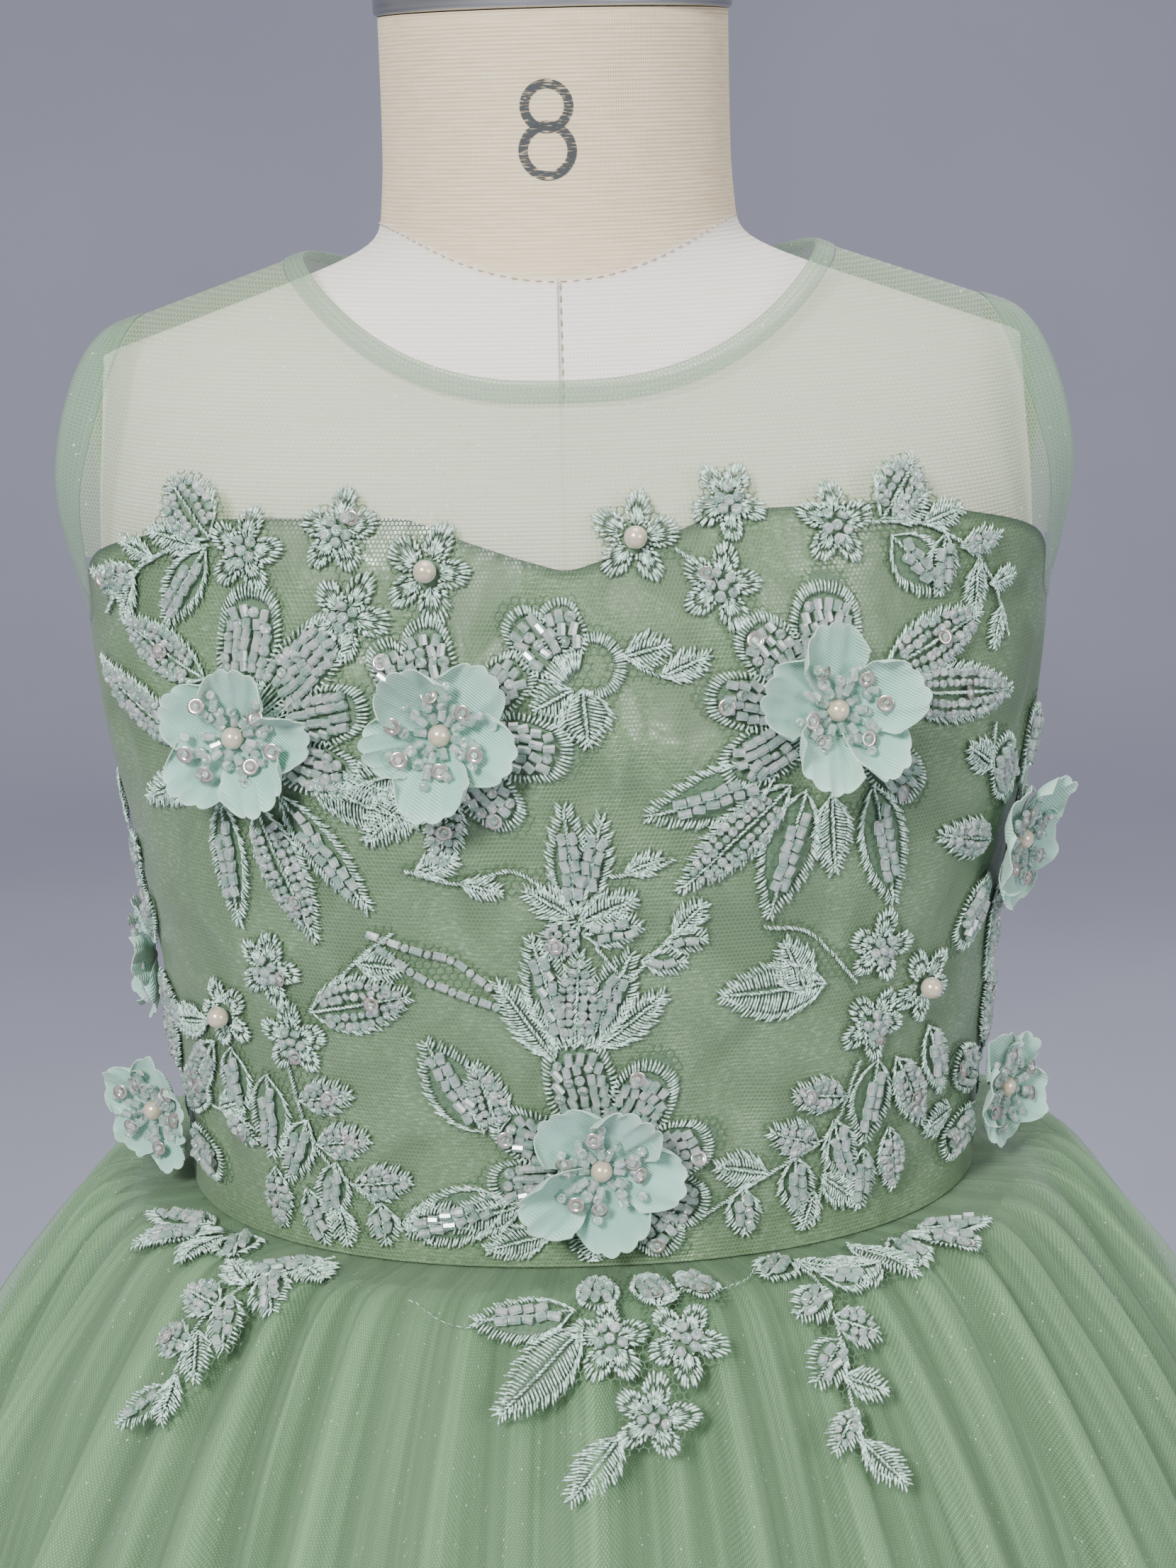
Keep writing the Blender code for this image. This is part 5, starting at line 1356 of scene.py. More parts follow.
def bead_line(work, *points):
    """A thread of beads: a tube and a seed in turn."""
    line, runs = smooth_line(points, 2.9)
    for k, (at, run) in enumerate(zip(line, runs)):
        if k % 2:
            seed_bead(work, at, 1.15)
        else:
            tube_bead(work, at, run, 3.2, 0.9, 0.5)
        cover(work, at, 1.0)


def loose_pearl(work, a, b, radius=2.8):
    work["pearls"].append((a, b, 1.9, radius))
    cover(work, (a, b), radius)


def flower_ring(work, radius, turn, count, length, width):
    """Leaves and beaded petals in turn, round a flower that the photo shows edge on or not at all."""
    for k in range(count):
        clock = turn + 360*k/count
        start = clock_frame(clock)[0]*radius*0.62
        if k % 2:
            leaf(work, *start, clock + 8, length*1.15, width*0.62, "seed")
        else:
            fan(work, *start, clock, length, width)


# name: angle round the body and rise above the waist (or the path down the skirt, where the name
# starts with skirt), then runs of motifs in the order in which they are stitched
GROUPS = {
    "bust_left_outer": (-46.5, 0.1430, (fan, (0, 4, 2, 34, 19), (2, 3, 44, 37, 17), (4, 1, 76, 32, 16),
        (3, -2, 106, 32, 15)), (leaf, (-12, 13, -68, 33, 10, "seed"), (-16, -5, -68, 44, 9, "seed"),
        (-14, -12, -112, 28, 8), (-8, -18, 182, 33, 10, "tube"), (3, -18, 160, 36, 12, "seed"),
        (11, -15, 143, 35, 9, "tube"), (19, -11, 108, 29, 10)), (rosette, (27, 30, 12, 25),
        (23, 51, 10.6, 0))),
    "bust_left_inner": (-18.5, 0.1450, (fan, (-1, 2, -12, 27, 15), (-2, 1, -38, 27, 12),
        (2, 2, 52, 26, 14), (3, 0, 102, 30, 17), (1, -4, 138, 26, 14)), (leaf, (-4, -12, 226, 22, 10),
        (-9, -9, 252, 18, 9), (2, -14, 190, 20, 8, "seed")), (rosette, (-6, 39, 12.6, 15, "pearl"))),
    "bust_right": (37.0, 0.1470, (fan, (-1, 4, 8, 28, 20), (-3, 3, -42, 27, 17), (-5, 0, -78, 28, 15),
        (-4, -3, 246, 28, 15), (5, -5, 134, 29, 15)), (leaf, (18, 2, 97, 42, 13, "seed"),
        (16, 8, 71, 34, 12, "seed"), (-16, -15, 254, 32, 12, "tube"), (-12, -18, 228, 36, 11, "seed"),
        (-8, -20, 195, 32, 13, "tube"), (-1, -22, 174, 20, 9), (11, -21, 163, 33, 12, "tube")),
        (rosette, (-25, 32, 11.4, 20), (-20, 52, 10.2, 40), (-47, 44, 12, 12, "pearl")),
        (stem, ((-36, 41), (-30, 37), (-26, 33)))),
    "swirl": (2.0, 0.1590, (curl, (3, 2, 6.8, -70, 215, 4.2)), (fan, (-3, -2, -41, 23, 13),
        (-2, 0, -14, 19, 12)), (leaf, (0, -4, 176, 13, 11), (-3, -4, 244, 10, 9)),
        (stem, ((9, 5), (19, -1), (31, 0))), (leaf, (11, 4, 78, 11, 7), (20, -1, 70, 12, 6))),
    "yoke_left": (-52.0, 0.1900, (rosette, (10, -1, 10.8, 10)), (leaf, (0, 2, -46, 19, 12, "seed"),
        (-1, -1, 216, 24, 10, "tube"), (-3, 0, -79, 15, 7)),
        (stem, ((0, 0), (-13, -2), (-28, -10), (-44, -21))), (leaf, (-18, -4, -70, 11, 5),
        (-24, -8, 258, 20, 6, "seed"), (-26, -9, 214, 15, 6), (-34, -15, -66, 12, 5))),
    "yoke_right": (53.0, 0.1890, (rosette, (-26, 3, 10.6, 5)), (leaf, (-13, 4, 44, 18, 10, "seed"),
        (-10, 3, 60, 12, 7), (-11, -1, 138, 19, 12, "tube")),
        (stem, ((-17, 3), (-3, 2), (12, -6), (24, -19), (29, -31))), (leaf, (-1, 2, 76, 11, 6),
        (4, -2, 188, 14, 8, "tube"), (10, -5, 84, 12, 6, "seed"), (15, -10, 182, 14, 7),
        (21, -16, 82, 10, 5), (26, -23, 206, 11, 5))),
    "waist_centre": (3.0, 0.0280, (fan, (-1, 3, -10, 36, 19), (2, 2, 27, 30, 18), (-3, 1, -62, 28, 15),
        (-3, -2, 265, 27, 14), (4, 0, 75, 26, 17), (4, -3, 114, 26, 16), (3, -5, 140, 25, 15)),
        (leaf, (-1, -8, 186, 18, 13), (-30, 10, -27, 28, 13, "tube"), (-26, 10, -15, 19, 9, "seed"),
        (-25, -9, 250, 28, 13, "tube"), (-21, -10, 252, 20, 9), (-14, -18, 254, 17, 8),
        (-6, 34, 4, 25, 9, "seed"), (-8, 34, -14, 30, 10, "tube"), (-3, 34, 24, 27, 10, "tube"),
        (-11, 31, -32, 24, 8), (0, 34, 50, 21, 8))),
    "centre": (3.0, 0.1010, (leaf, (-5, -2, -5, 27, 9, "tube"), (-4, -2, 14, 24, 8, "tube"),
        (-6, -3, -58, 13, 7), (-5, -5, 224, 12, 8, "seed"), (-4, -5, 66, 15, 8),
        (-3, -8, 82, 14, 8, "tube")), (stem, ((-47, 9), (-34, 6), (-20, 9), (-8, 0))),
        (leaf, (-44, 9, 70, 11, 6), (-33, 6, 104, 10, 5)), (stem, ((4, 7), (12, 8), (20, 11))),
        (leaf, (8, 8, 68, 9, 5)), (stem, ((0, -12), (8, -20), (18, -11), (29, -5))),
        (leaf, (12, -16, 94, 11, 6, "tube"), (18, -11, 88, 10, 6, "tube"), (20, -9, 42, 11, 6))),
    "mid_left": (-47.0, 0.0720, (rosette, (0, 7, 10.6, 20), (-19, -9, 10.2, 50, "pearl"),
        (5, -12, 10.6, 0)), (leaf, (12, -3, 76, 28, 13, "seed")),
        (stem, ((12, -2), (27, 13), (37, 21))), (leaf, (27, 12, 92, 12, 7)),
        (bead_line, ((34, 16), (48, 7), (64, 1)), ((32, 20), (51, 14), (62, 6))),
        (leaf, (-19, -19, 180, 18, 11, "tube"), (-6, -24, 184, 23, 12, "tube")),
        (stem, ((2, -20), (7, -40), (20, -52), (42, -66))), (leaf, (5, -29, 76, 16, 8, "seed"),
        (6, -35, 205, 19, 9, "tube"), (9, -41, 77, 16, 8, "seed"), (14, -46, 190, 16, 9, "tube"),
        (20, -51, 80, 16, 8, "seed"), (27, -56, 174, 11, 8, "tube"), (34, -60, 78, 15, 7),
        (-28, -13, 256, 26, 8), (-27, -19, 224, 28, 9, "seed"), (14, -58, 168, 11, 7),
        (4, -55, 160, 15, 8, "tube"), (-7, -51, 176, 16, 8, "seed"))),
    "mid_right": (47.0, 0.0740, (rosette, (-2, 7, 10.2, 10), (15, -7, 11, 40, "pearl"),
        (-2, -14, 10.6, 30)), (leaf, (-18, 0, 270, 28, 13)), (stem, ((-9, -1), (-23, 14), (-36, 18))),
        (leaf, (-23, -2, -27, 17, 9), (19, -20, 155, 22, 9, "tube"), (7, -26, 149, 24, 9, "seed"),
        (0, -25, 187, 22, 12, "tube")), (stem, ((-6, -24), (-14, -42), (-30, -50), (-51, -61))),
        (leaf, (-10, -33, 282, 16, 8, "seed"), (-13, -40, 165, 17, 9, "tube"),
        (-18, -45, 292, 15, 8, "seed"), (-25, -48, 175, 15, 9, "tube"), (-33, -51, 282, 14, 8),
        (-40, -55, 177, 12, 8, "tube")), (stem, ((-14, -42), (-16, -55), (-19, -68))),
        (leaf, (-16, -55, 128, 15, 8), (-19, -59, 200, 10, 7), (-3, -50, 184, 16, 8, "tube"),
        (6, -46, 172, 17, 8, "seed"))),
    "waist_left": (-80.0, 0.0230, (fan, (9, 5, 62, 25, 14), (10, -3, 104, 25, 13),
        (-9, 4, -65, 24, 13)), (leaf, (3, 12, 14, 26, 11, "seed"), (-4, 11, -24, 24, 10, "tube"),
        (-13, -5, 258, 22, 9)), (stem, ((31, 9), (42, 10), (52, 8))), (leaf, (36, 10, 66, 12, 6),
        (40, 9, 112, 12, 6, "seed"))),
    "waist_right": (80.0, 0.0230, (fan, (-9, 5, -62, 25, 14), (-10, -3, 256, 25, 13),
        (9, 4, 65, 24, 13)), (leaf, (-3, 12, -14, 26, 11, "seed"), (4, 11, 24, 24, 10, "tube"),
        (13, -5, 102, 22, 9), (-30, 2, 266, 14, 8))),
    "side_right": (73.0, 0.1000, (flower_ring, (20, 20, 7, 24, 14)),
        (stem, ((-12, 14), (-20, 24), (-22, 36))), (leaf, (-20, 24, 300, 14, 7))),
    "side_left": (-86.0, 0.0640, (flower_ring, (17, 48, 7, 22, 12)),
        (stem, ((8, 20), (11, 34), (8, 50))), (leaf, (11, 32, 60, 14, 7, "seed"), (9, 42, -40, 14, 7)),
        (loose_pearl, (-11, 15))),
    "skirt_centre": (4.0, 0.0340, (rosette, (-3, 2, 10.2, 0), (16, 1, 10.6, 36), (6, -16, 10.6, 15)),
        (leaf, (11, 11, 12, 9, 9)), (fan, (-4, 27, 188, 17, 13), (9, 27, 168, 16, 13),
        (20, 26, 150, 15, 11)), (loose_thread, ((-26, 14), (-38, 5), (-47, 6), (-58, 12)),
        ((26, 14), (37, 17), (47, 25))), (leaf, (-12, 10, 262, 26, 11, "tube"), (-10, 5, 225, 27, 11),
        (-2, -20, 216, 18, 8))),
    "skirt_left": (-44.0, 0.0440, (stem, ((13, 38), (3, 20), (-4, 6), (-3, -12))),
        (leaf, (12, 36, 228, 17, 9, "tube"), (9, 33, 110, 14, 8), (6, 25, 138, 15, 9, "tube"),
        (3, 20, -66, 15, 8), (0, 15, 148, 14, 8, "tube"), (-1, 12, 276, 13, 8, "seed"),
        (-3, 5, 150, 12, 7), (-4, 2, 268, 10, 7, "seed"), (-3, -6, 172, 12, 6),
        (-4, -9, 214, 16, 7, "tube")), (fan, (-34, 36, 215, 20, 12)),
        (leaf, (-28, 37, 120, 16, 9, "tube"), (-30, 33, 160, 14, 8), (-42, 36, 250, 20, 9, "tube"),
        (-40, 31, 205, 15, 8))),
    "skirt_right": (30.0, 0.0460, (stem, ((0, 40), (-2, 14), (-6, -4), (-7, -22))),
        (leaf, (0, 38, 240, 16, 9, "tube"), (1, 35, 130, 15, 8), (2, 26, 112, 12, 8, "tube"),
        (0, 21, 246, 13, 8, "tube"), (-2, 13, 116, 11, 8, "seed"), (-3, 8, 234, 13, 8, "tube"),
        (-5, 0, 120, 10, 7), (-6, -8, 222, 12, 6, "seed"), (-7, -16, 150, 14, 7), (21, 27, 268, 14, 12),
        (24, 38, 170, 18, 10)), (fan, (44, 37, 150, 18, 11)), (leaf, (38, 36, 205, 15, 8, "tube"),
        (50, 36, 112, 18, 8, "tube")))}


def thread_material():
    mat, tree, shader = mottled_material("mint_embroidery_thread", 0.38, 950.0, THREAD_DEEP, THREAD_PALE,
                                         spread=(0.37, 0.60), Sheen_Weight=0.35)
    twist = noise(space_map(tree), 2600.0)
    join(shader, Roughness=ramp(twist, 0.0, 1.0, 0.26, 0.52))
    bump(shader, twist, 0.0001)
    return mat


def backing_material():
    """Coarse dark net; the stitched parts, where the mark filled is 1, are closed by underlay."""
    mat, tree, shader = new_material("applique_backing_net", 0.6)
    chart = cloth_map(tree)
    mask = net_mask(chart, 0.0021, 0.13)
    filled = marked(tree, "filled")
    cloud = noise(chart, 900.0)
    under = blend(cloud, (0.05, 0.10, 0.05), (0.16, 0.26, 0.16))
    ragged = maths("ADD", filled, times(cloud, 0.6))
    closed = times(ramp(ragged, 0.70, 0.95), 0.94)
    join(shader, Base_Color=blend(filled, BACKING_GREEN, under),
         Alpha=maths("MAXIMUM", mask, closed))
    bump(shader, mask, 0.0001)
    return mat


def hard_materials():
    """Silver-lined glass, which shows whiter in some beads than in others, pearl and sequin foil."""
    glass = mottled_material("silver_lined_glass", 0.08, 380.0, (0.50, 0.72, 0.62), (1.0, 1.0, 1.0),
                             spread=(0.38, 0.62), gloss=(0.04, 0.16), IOR=1.45, Coat_Weight=1.0,
                             Coat_Roughness=0.03, Transmission_Weight=0.70)
    pearl = mottled_material("champagne_pearl", 0.22, 260.0, (0.50, 0.40, 0.26), (0.80, 0.71, 0.55),
                             gloss=(0.18, 0.32), metallic=0.30, Coat_Weight=1.0, Coat_Roughness=0.05,
                             Sheen_Weight=0.25)
    foil = mottled_material("silver_sequin", 0.22, 240.0, (0.50, 0.38, 0.28), (0.84, 0.85, 0.84),
                            gloss=(0.14, 0.34), metallic=0.85)
    return glass[0], pearl[0], foil[0]


def body_lay(angle, rise):
    """A function that lays flat places (millimetres across, up and off the cloth) on the dress."""
    degrees = np.linspace(angle - 60, angle + 60, 241)
    run = path_length(body_at(DRESS, degrees, rise))
    run -= run[120]

    def lay(flat):
        flat = np.atleast_2d(flat)
        at = np.interp(flat[:, 0]*MM, run, degrees)
        height = np.maximum(rise + flat[:, 1]*MM, 0.0022)
        point, _, _, out = body_frame(at, height)
        fold = np.where(height < satin_top(np.abs(at)), pucker_height(at, height), 0)
        return point + out*(flat[:, 2]*MM + fold)[:, None], out
    return lay


def skirt_lay(angle, path):
    """The same, on the crests of the gathered skirt; up the cloth is back towards the waist."""
    def shell(degrees, down, off):
        spread, rise, fold, merge = flare(OUTER, down)
        size = 1 + 0.25*np.sin(degrees/360*GATHERS*2*np.pi/7 + 0.6)
        crest = fold*((1 - merge)*size + merge*(2 - size))*1.10
        base, out = waist_ring(degrees/360)
        point = base + out*(spread + crest + off)[:, None]
        point[:, 2] = WAIST + rise
        return point

    radius = float(np.hypot(*shell(np.array([angle]), np.array([path]), np.zeros(1))[0, :2]))

    def lay(flat):
        flat = np.atleast_2d(flat)
        at = angle + np.degrees(flat[:, 0]*MM/radius)
        down = np.maximum(path - flat[:, 1]*MM, 0.006)
        none = np.zeros(len(flat))
        across = shell(at + 0.3, down, none) - shell(at - 0.3, down, none)
        up = shell(at, down - 0.001, none) - shell(at, down + 0.001, none)
        out = unit(np.cross(across, up))
        return shell(at, down, none) + out*(flat[:, 2]*MM)[:, None], out
    return lay


def net_size(flat, corners):
    """Width, length and area of a flat net; the sides shrink until the area fills enough of them."""
    first, second = corners[:, 2] - corners[:, 0], corners[:, 3] - corners[:, 1]
    area = np.abs(first[:, 0]*second[:, 1] - first[:, 1]*second[:, 0]).sum()/2
    spread = flat[:, :2] - flat[:, :2].mean(0)
    turned = spread @ np.linalg.eigh(spread.T @ spread)[1]
    width, length = np.ptp(turned[:, 0]), np.ptp(turned[:, 1])
    while area < 0.31*width*length:
        width, length = width*0.96, length*0.96
    return width*MM, length*MM, area*MM*MM


def backing_net(name, work, lay, mat):
    """The net cut round a group's motifs: its piece, and its flat width, length and area."""
    discs = np.array(work["cover"])
    margin, step = 1.5, 1.7
    low = (discs[:, :2] - discs[:, 2:]).min(0) - margin - step
    high = (discs[:, :2] + discs[:, 2:]).max(0) + margin + step
    x, y = np.meshgrid(np.arange(low[0], high[0], step), np.arange(low[1], high[1], step))
    gap = (np.hypot(x[..., None] - discs[:, 0], y[..., None] - discs[:, 1]) - discs[:, 2]).min(-1)
    near, inside = gap < margin + step, gap < margin
    keep = inside[:-1, :-1] & near[1:, :-1] & near[:-1, 1:] & near[1:, 1:]
    keep |= inside[1:, 1:] & near[:-1, :-1] & near[1:, :-1] & near[:-1, 1:]
    slope_y, slope_x = np.gradient(gap, step)
    over = np.clip(gap - margin, 0, None)
    x, y = x - slope_x*over, y - slope_y*over
    quads = grid_faces(*x.shape)[2][keep.ravel()]
    used, index = np.unique(quads, return_inverse=True)
    faces = index.reshape(quads.shape)
    flat = np.stack([x.ravel()[used], y.ravel()[used], np.full(len(used), NET_LIFT)], -1)
    piece = add_mesh(name, lay(flat)[0].tolist(), faces.tolist(), mat)
    chart = piece.data.uv_layers.new(name="cloth")
    chart.data.foreach_set("uv", (flat[faces.ravel(), :2]*MM).astype(np.float32).ravel())
    mark(piece, "filled", np.clip((-gap.ravel()[used] - 0.5)/0.9, 0, 1))
    return piece, *net_size(flat, flat[faces, :2])


# profiles of beads, sequins and pearls: radius, and place along the axis
TUBE = ((0, -0.34), (0.45, -0.36), (0.92, -0.50), (1.0, -0.46), (1.0, 0.46), (0.92, 0.50), (0.45, 0.36),
        (0, 0.34))
SEED = ((0, -0.30), (0.38, -0.30), (0.72, -0.62), (1.0, -0.30), (1.0, 0.30), (0.72, 0.62), (0.38, 0.30),
        (0, 0.30))
RIM = ((0.27, 0.0), (0.64, 0.07), (1.0, 0.27), (1.0, 0.32), (0.64, 0.13), (0.27, 0.055))
BALL = [(round(math.cos(math.radians(t)), 6) if abs(t) < 90 else 0, math.sin(math.radians(t)))
        for t in np.linspace(-90, 90, 13)]
BEAD_SIDES = 7


def lay_tubes(name, rows, lay, glass):
    """Glass tubes lying along their run; each is turned flat, then drawn out to its own length."""
    rows = np.array(rows)
    starts, ends = (lay(np.column_stack([rows[:, :2] + rows[:, 3:5]*end, rows[:, 2]]))[0]
                    for end in (-1, 1))
    radius = float(rows[:, 6].mean())*MM
    flat = [(r*radius, 0.0) for r, _ in TUBE]
    tubes = turned_mesh(name, lay(rows[:, :3])[0], ends - starts, 1.0, flat, BEAD_SIDES, glass)
    mesh = tubes.data
    each = len(mesh.vertices)//len(rows)
    shares = np.concatenate([np.full(BEAD_SIDES if r > 0 else 1, along) for r, along in TUBE])
    reach = np.repeat(rows[:, 5]*MM, each)*np.tile(shares, len(rows))
    places = np.empty(len(mesh.vertices)*3)
    mesh.vertices.foreach_get("co", places)
    places = places.reshape(-1, 3) + np.repeat(unit(ends - starts), each, axis=0)*reach[:, None]
    mesh.vertices.foreach_set("co", places.ravel())
    mesh.polygons.foreach_set("use_smooth", [False]*len(mesh.polygons))
    mesh.update()
    return tubes


def lay_turned(name, rows, lay, mat, profile, sides, tilt=0.0, lift=0.0, hollow=False):
    """Turned pieces upright on the cloth, tilted by chance or lifted by a share of their size."""
    rows = np.array(rows)
    middle, out = lay(rows[:, :3])
    middle = middle + out*rows[:, 3:]*lift*MM
    if tilt:
        out = out + CHANCE.normal(0, tilt, (len(rows), 3))
    return turned_mesh(name, middle, out, rows[:, 3]*MM, profile, sides, mat, hollow=hollow)


def lay_hard(beads, others, work, lay, glass, pearl, foil):
    """The tubes, seeds, pearls and cupped sequins of one group or flower."""
    made = []
    if work["tubes"]:
        made.append(lay_tubes(beads + "_tubes", work["tubes"], lay, glass))
    if work["seeds"]:
        made.append(lay_turned(beads + "_seeds", work["seeds"], lay, glass, SEED, BEAD_SIDES,
                               tilt=0.45))
    if work["pearls"]:
        made.append(lay_turned(others + "_pearls", work["pearls"], lay, pearl, BALL, 20, lift=0.4))
    if work["sequins"]:
        made.append(lay_turned(others + "_sequins", work["sequins"], lay, foil, RIM, 16, 0.22,
                               hollow=True))
    return made


def build_applique(hard):
    thread, backing = thread_material(), backing_material()
    for name, (angle, place, *runs) in GROUPS.items():
        work = new_work()
        for motif, *rows in runs:
            for row in rows:
                motif(work, *row)
        on_skirt = name.startswith("skirt")
        lay = skirt_lay(angle, place) if on_skirt else body_lay(angle, place)
        net, width, length, area = backing_net("net_" + name, work, lay, backing)
        rows = np.array(work["threads"])
        (starts, _), (middles, ups), (ends, _) = (lay(rows[:, k:k + 3]) for k in (0, 3, 6))
        pieces = [thread_mesh("stitches_" + name, starts, middles, ends, rows[:, 9]*MM, ups, thread)]
        pieces += lay_hard("beads_" + name, "applique_" + name, work, lay, *hard)
        belongs(net, "applique_" + name)
        for piece in pieces:
            belongs(piece)


HARD = hard_materials()
build_applique(HARD)


# Flowers: five separate petals of mint satin, heat-cut with scalloped edges and cupped, sewn
# through the middle with a champagne pearl, rays of clear beads and a few cupped sequins.
PETAL_MINT = (0.40, 0.71, 0.60)
PETAL_SHADE = (0.25, 0.50, 0.39)
PETAL_LIFTS = (0.55, 1.25, 0.80, 1.55, 0.70)
PETAL_SEAT = 0.0027
PETAL_ROWS = 15
PETAL_COLUMNS = 29
# name, angle round the body, rise, radius, turn of the first petal, lift of the petal tips, and the
# turn of the whole flower towards the front, in radians (below 0 on the left)
FLOWERS = (("bust_left_outer", -46.5, 0.1430, 0.0200, 10, 0.0065, -0.34),
           ("bust_left_inner", -18.5, 0.1450, 0.0200, 40, 0.0100, 0.0),
           ("bust_right", 37.0, 0.1470, 0.0220, 0, 0.0085, 0.0),
           ("waist_centre", 3.0, 0.0290, 0.0220, 28, 0.0065, 0.0),
           ("waist_left", -80.0, 0.0230, 0.0175, 15, 0.0070, -0.72),
           ("waist_right", 80.0, 0.0230, 0.0180, 50, 0.0070, 0.52),
           ("side_right", 73.0, 0.1000, 0.0200, 33, 0.0080, 0.20),
           ("side_left", -86.0, 0.0640, 0.0170, 5, 0.0065, -0.12))


def petal_material():
    mat, tree, shader = new_material("mint_satin_petal", 0.46, Sheen_Weight=0.4, Subsurface_Weight=0.12,
                                     Subsurface_Scale=0.004)
    chart = cloth_map(tree)
    line = maths("SINE", times(axes_of(turned_map(chart, 0.6))[1], 9500.0))
    soft = noise(chart, 90.0)
    tone = blend(soft, PETAL_SHADE, PETAL_MINT)
    edge = times(marked(tree, "edge"), 0.65)
    join(shader, Base_Color=blend(edge, tone, (0.60, 0.78, 0.65)))
    bump(shader, maths("ADD", line, times(soft, 8.0)), 0.00008)
    return mat


def petal_points(radius, lift, curled):
    """A petal in its own frame: across, along and off the cloth, and how near the edge each point is."""
    u, v = np.meshgrid(np.linspace(-1, 1, PETAL_COLUMNS), np.linspace(0, 1, PETAL_ROWS))
    scallop = 0.075*np.abs(np.sin(u*np.pi*2.0 + 0.3 + 0.5*curled))**0.6
    reach = 0.52 + 0.42*(1 - np.abs(u)**2.4)**0.6 + scallop
    along = radius*(0.07 + 0.93*v*reach)
    wide = radius*0.415*(0.22 + 1.24*v - 0.46*v**4)*(1 + 0.09*np.abs(np.sin(v*9.5 + curled))*v)
    hand = 1 if lift > 0.0068 else -1
    rolled = 2.2*max(0.0, curled - 0.45)
    flap = np.clip(u*hand - 0.25, 0, 1)
    across = wide*(u - hand*flap*(1 - math.cos(rolled)))
    off = lift*(v**1.5)*(1 + 0.18*np.cos(u*3.1 + curled)) + 0.0012*np.sin(u*4.0 + curled*2)*v
    off += (0.0035 + 0.0030*curled)*np.clip(v - 0.72, 0, 1)**1.3*np.abs(u)*2.0
    off -= 0.0007*np.exp(-(u/0.18)**2)*np.sin(np.pi*v)
    off += wide*flap*math.sin(rolled)
    edge = np.maximum(np.abs(u), v)**14
    return across, along, off, edge


def build_petals(name, basis, radius, turn, lift, most_curl, cloth):
    """Five petals in one piece, each grown, turned and curled by chance; gives it and its area."""
    centre, across, up, out = basis
    verts, chart, edges = [], [], []
    for petal in range(5):
        grow = draw(0.92, 1.06)
        tip = lift*PETAL_LIFTS[(petal + round(turn/10)) % 5]
        x, y, off, edge = petal_points(radius*grow, tip, draw(-0.4, most_curl))
        run, side = clock_frame(turn + 72*petal + draw(-5, 5))
        flat = x[..., None]*side + y[..., None]*run
        seat = PETAL_SEAT + 0.0004*(petal % 2) + off
        points = centre + flat[..., :1]*across + flat[..., 1:]*up + seat[..., None]*out
        verts += points.reshape(-1, 3).tolist()
        chart += flat.reshape(-1, 2).tolist()
        edges += edge.ravel().tolist()
    quads = grid_faces(PETAL_ROWS, PETAL_COLUMNS)[2][:, [1, 2, 3, 0]]
    faces = np.concatenate([quads + petal*PETAL_ROWS*PETAL_COLUMNS for petal in range(5)])
    petals = add_mesh("petals_" + name, verts, faces.tolist(), cloth)
    uv = petals.data.uv_layers.new(name="cloth")
    uv.data.foreach_set("uv", np.array(chart)[faces.ravel()].astype(np.float32).ravel())
    mark(petals, "edge", edges)
    area = sum(face.area for face in petals.data.polygons)
    petals.modifiers.new("cloth", "SOLIDIFY").thickness = 0.00025
    settle(petals, cloth, 1.0)
    return petals, area


def flower_work(turn):
    """The rays of tubes, the seeds between them, the sequins and the pearl of one flower."""
    work = new_work()
    for k in range(12):
        run, _ = clock_frame(turn + 30*k + draw(-6, 6))
        tube_bead(work, run*(4.7 + 0.9*(k % 2)), run, 2.9, 1.1, 0.4 + 1.2*(k % 2))
        place = run*7.8 + draw(-0.8, 0.8, 2)
        seed_bead(work, place, draw(1.3, 1.7), draw(0.5, 1.6))
        if k % 3:
            aim = run + draw(-0.7, 0.7, 2)
            tube_bead(work, run*9.7, aim, 2.9, 1.1, draw(0.6, 1.6))
        if k % 2:
            seed_bead(work, run*12.0 + draw(-0.9, 0.9, 2), draw(1.2, 1.5), 0.8)
    for k in range(6):
        run, _ = clock_frame(turn + 60*k + draw(0, 45))
        sequin(work, run*draw(8.5, 12.0), 2.2, 2.2)
    work["pearls"].append((0, 0, 0.9, 2.9))
    return work


def build_flower(name, angle, rise, radius, turn, lift, lean, cloth, hard):
    centre, across, up, out = body_frame(angle, rise)
    lift *= 0.60 if abs(angle) > 60 else 1.0
    if lean:
        centre = centre + out*radius*0.60*(abs(lean) - 0.12)
        cos, sin = math.cos(lean), math.sin(lean)
        across, out = across*cos + out*sin, out*cos - across*sin
    most_curl = 1.0 if abs(angle) < 60 else 0.5
    petals, area = build_petals(name, (centre, across, up, out), radius, turn, lift, most_curl, cloth)
    work = flower_work(turn)
    base = PETAL_SEAT/MM - NET_LIFT + 0.4

    def lay(flat):
        flat = np.atleast_2d(flat)
        slope = np.hypot(flat[:, 0], flat[:, 1])/(radius/MM)
        off = (flat[:, 2] + base)*MM + lift*slope**1.5
        point = centre + across*flat[:, :1]*MM + up*flat[:, 1:2]*MM + out*off[:, None]
        return point, np.tile(out, (len(flat), 1))

    pieces = lay_hard("beads_flower_" + name, "flower_" + name, work, lay, *hard)
    belongs(petals, "flower_" + name)
    for piece in pieces:
        belongs(piece)


PETAL_SATIN = petal_material()
for flower in FLOWERS:
    build_flower(*flower, PETAL_SATIN, HARD)


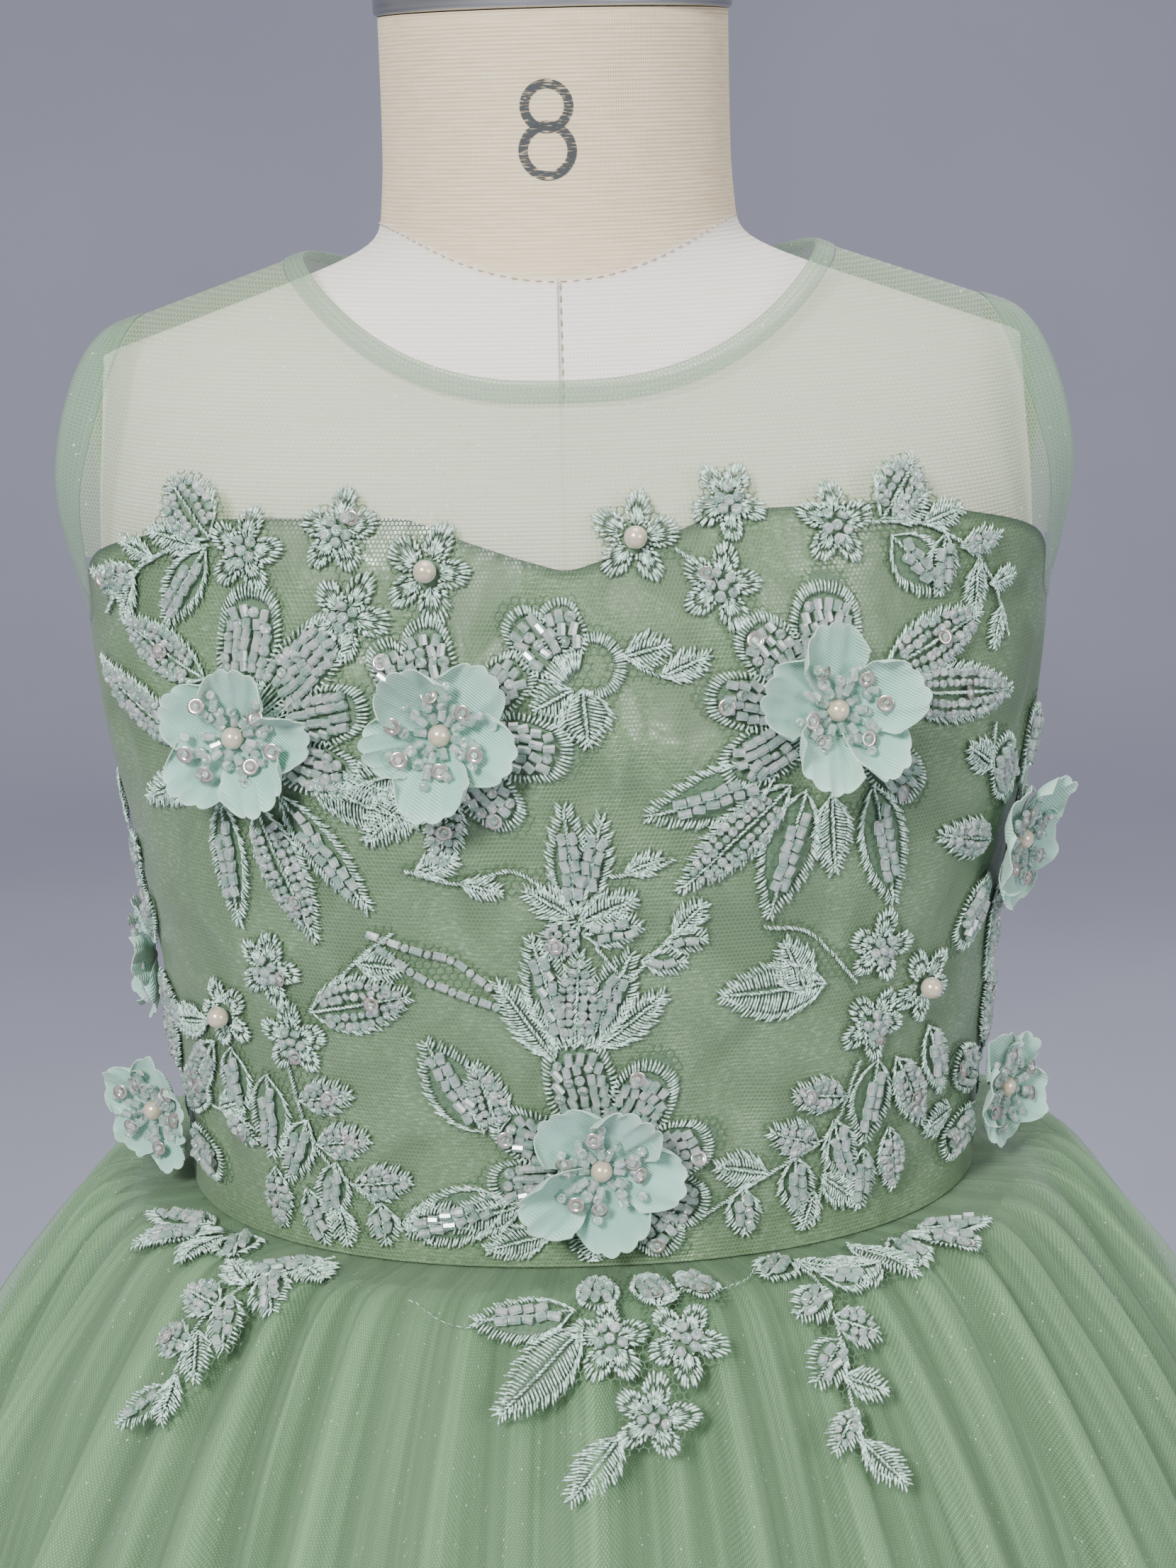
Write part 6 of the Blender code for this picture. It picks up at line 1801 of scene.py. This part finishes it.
# Studio: a pale mottled floor that sweeps up behind the dress, a soft key light from the front
# left, weaker ones from the right, above and behind, and a pale surround.
LAMPS = (("key", (-1.0, -2.1, 2.3), 0.7, 100.0), ("fill", (1.7, -1.7, 1.5), 1.1, 26.0),
         ("top", (0.1, 0.1, 2.9), 1.4, 24.0), ("back", (0.9, 2.3, 1.9), 1.2, 14.0))
LAMP_AIM = Vector((0, 0, 0.95))
CAMERA_PLACE = (0.00398, -0.7637, 1.0861)
CAMERA_TIP = 13.84
CAMERA_ROLL = -1.51
LENS = 63.5


def build_studio():
    pale, _, _ = mottled_material("pale_studio_paper", 0.9, 1.3, (0.360, 0.364, 0.452),
                                  (0.492, 0.496, 0.590), detail=3.0)
    bend = np.linspace(0, math.pi/2, 16)
    depth = np.concatenate([[-6.0], 3.4 + 1.2*np.sin(bend), [4.6]])
    height = np.concatenate([[0.0], 1.2*(1 - np.cos(bend)), [5.5]]) - 0.0002
    across = np.linspace(6.0, -6.0, 9)
    points = np.stack([*np.meshgrid(across, depth), np.meshgrid(across, height)[1]], -1)[::-1]
    sweep = grid_piece("studio_sweep", points, points[..., 0], points[..., 1], pale)
    for name, place, size, power in LAMPS:
        light = bpy.data.lights.new(name, "AREA")
        light.shape = "DISK"
        light.size = size
        light.energy = power
        lamp = bpy.data.objects.new(name, light)
        lamp.location = place
        lamp.rotation_euler = (LAMP_AIM - Vector(place)).to_track_quat("-Z", "Y").to_euler()
        bpy.context.scene.collection.objects.link(lamp)
    world = bpy.data.worlds.new("pale_surround")
    bpy.context.scene.world = world
    world.use_nodes = True
    surround = world.node_tree.nodes["Background"].inputs
    surround["Color"].default_value = (0.93, 0.95, 1.0, 1.0)
    surround["Strength"].default_value = 0.50


def place_camera():
    """The photograph's close view: level with the neck, tipped down, the whole bodice in frame."""
    lens = bpy.data.cameras.new("close_view")
    lens.sensor_width = 36.0
    lens.lens = LENS
    lens.clip_start = 0.01
    camera = bpy.data.objects.new("close_view", lens)
    tip = Matrix.Rotation(math.radians(90 - CAMERA_TIP), 4, "X")
    roll = Matrix.Rotation(math.radians(CAMERA_ROLL), 4, "Z")
    camera.matrix_world = Matrix.Translation(CAMERA_PLACE) @ (tip @ roll)
    bpy.context.scene.collection.objects.link(camera)
    bpy.context.scene.camera = camera


build_studio()
place_camera()
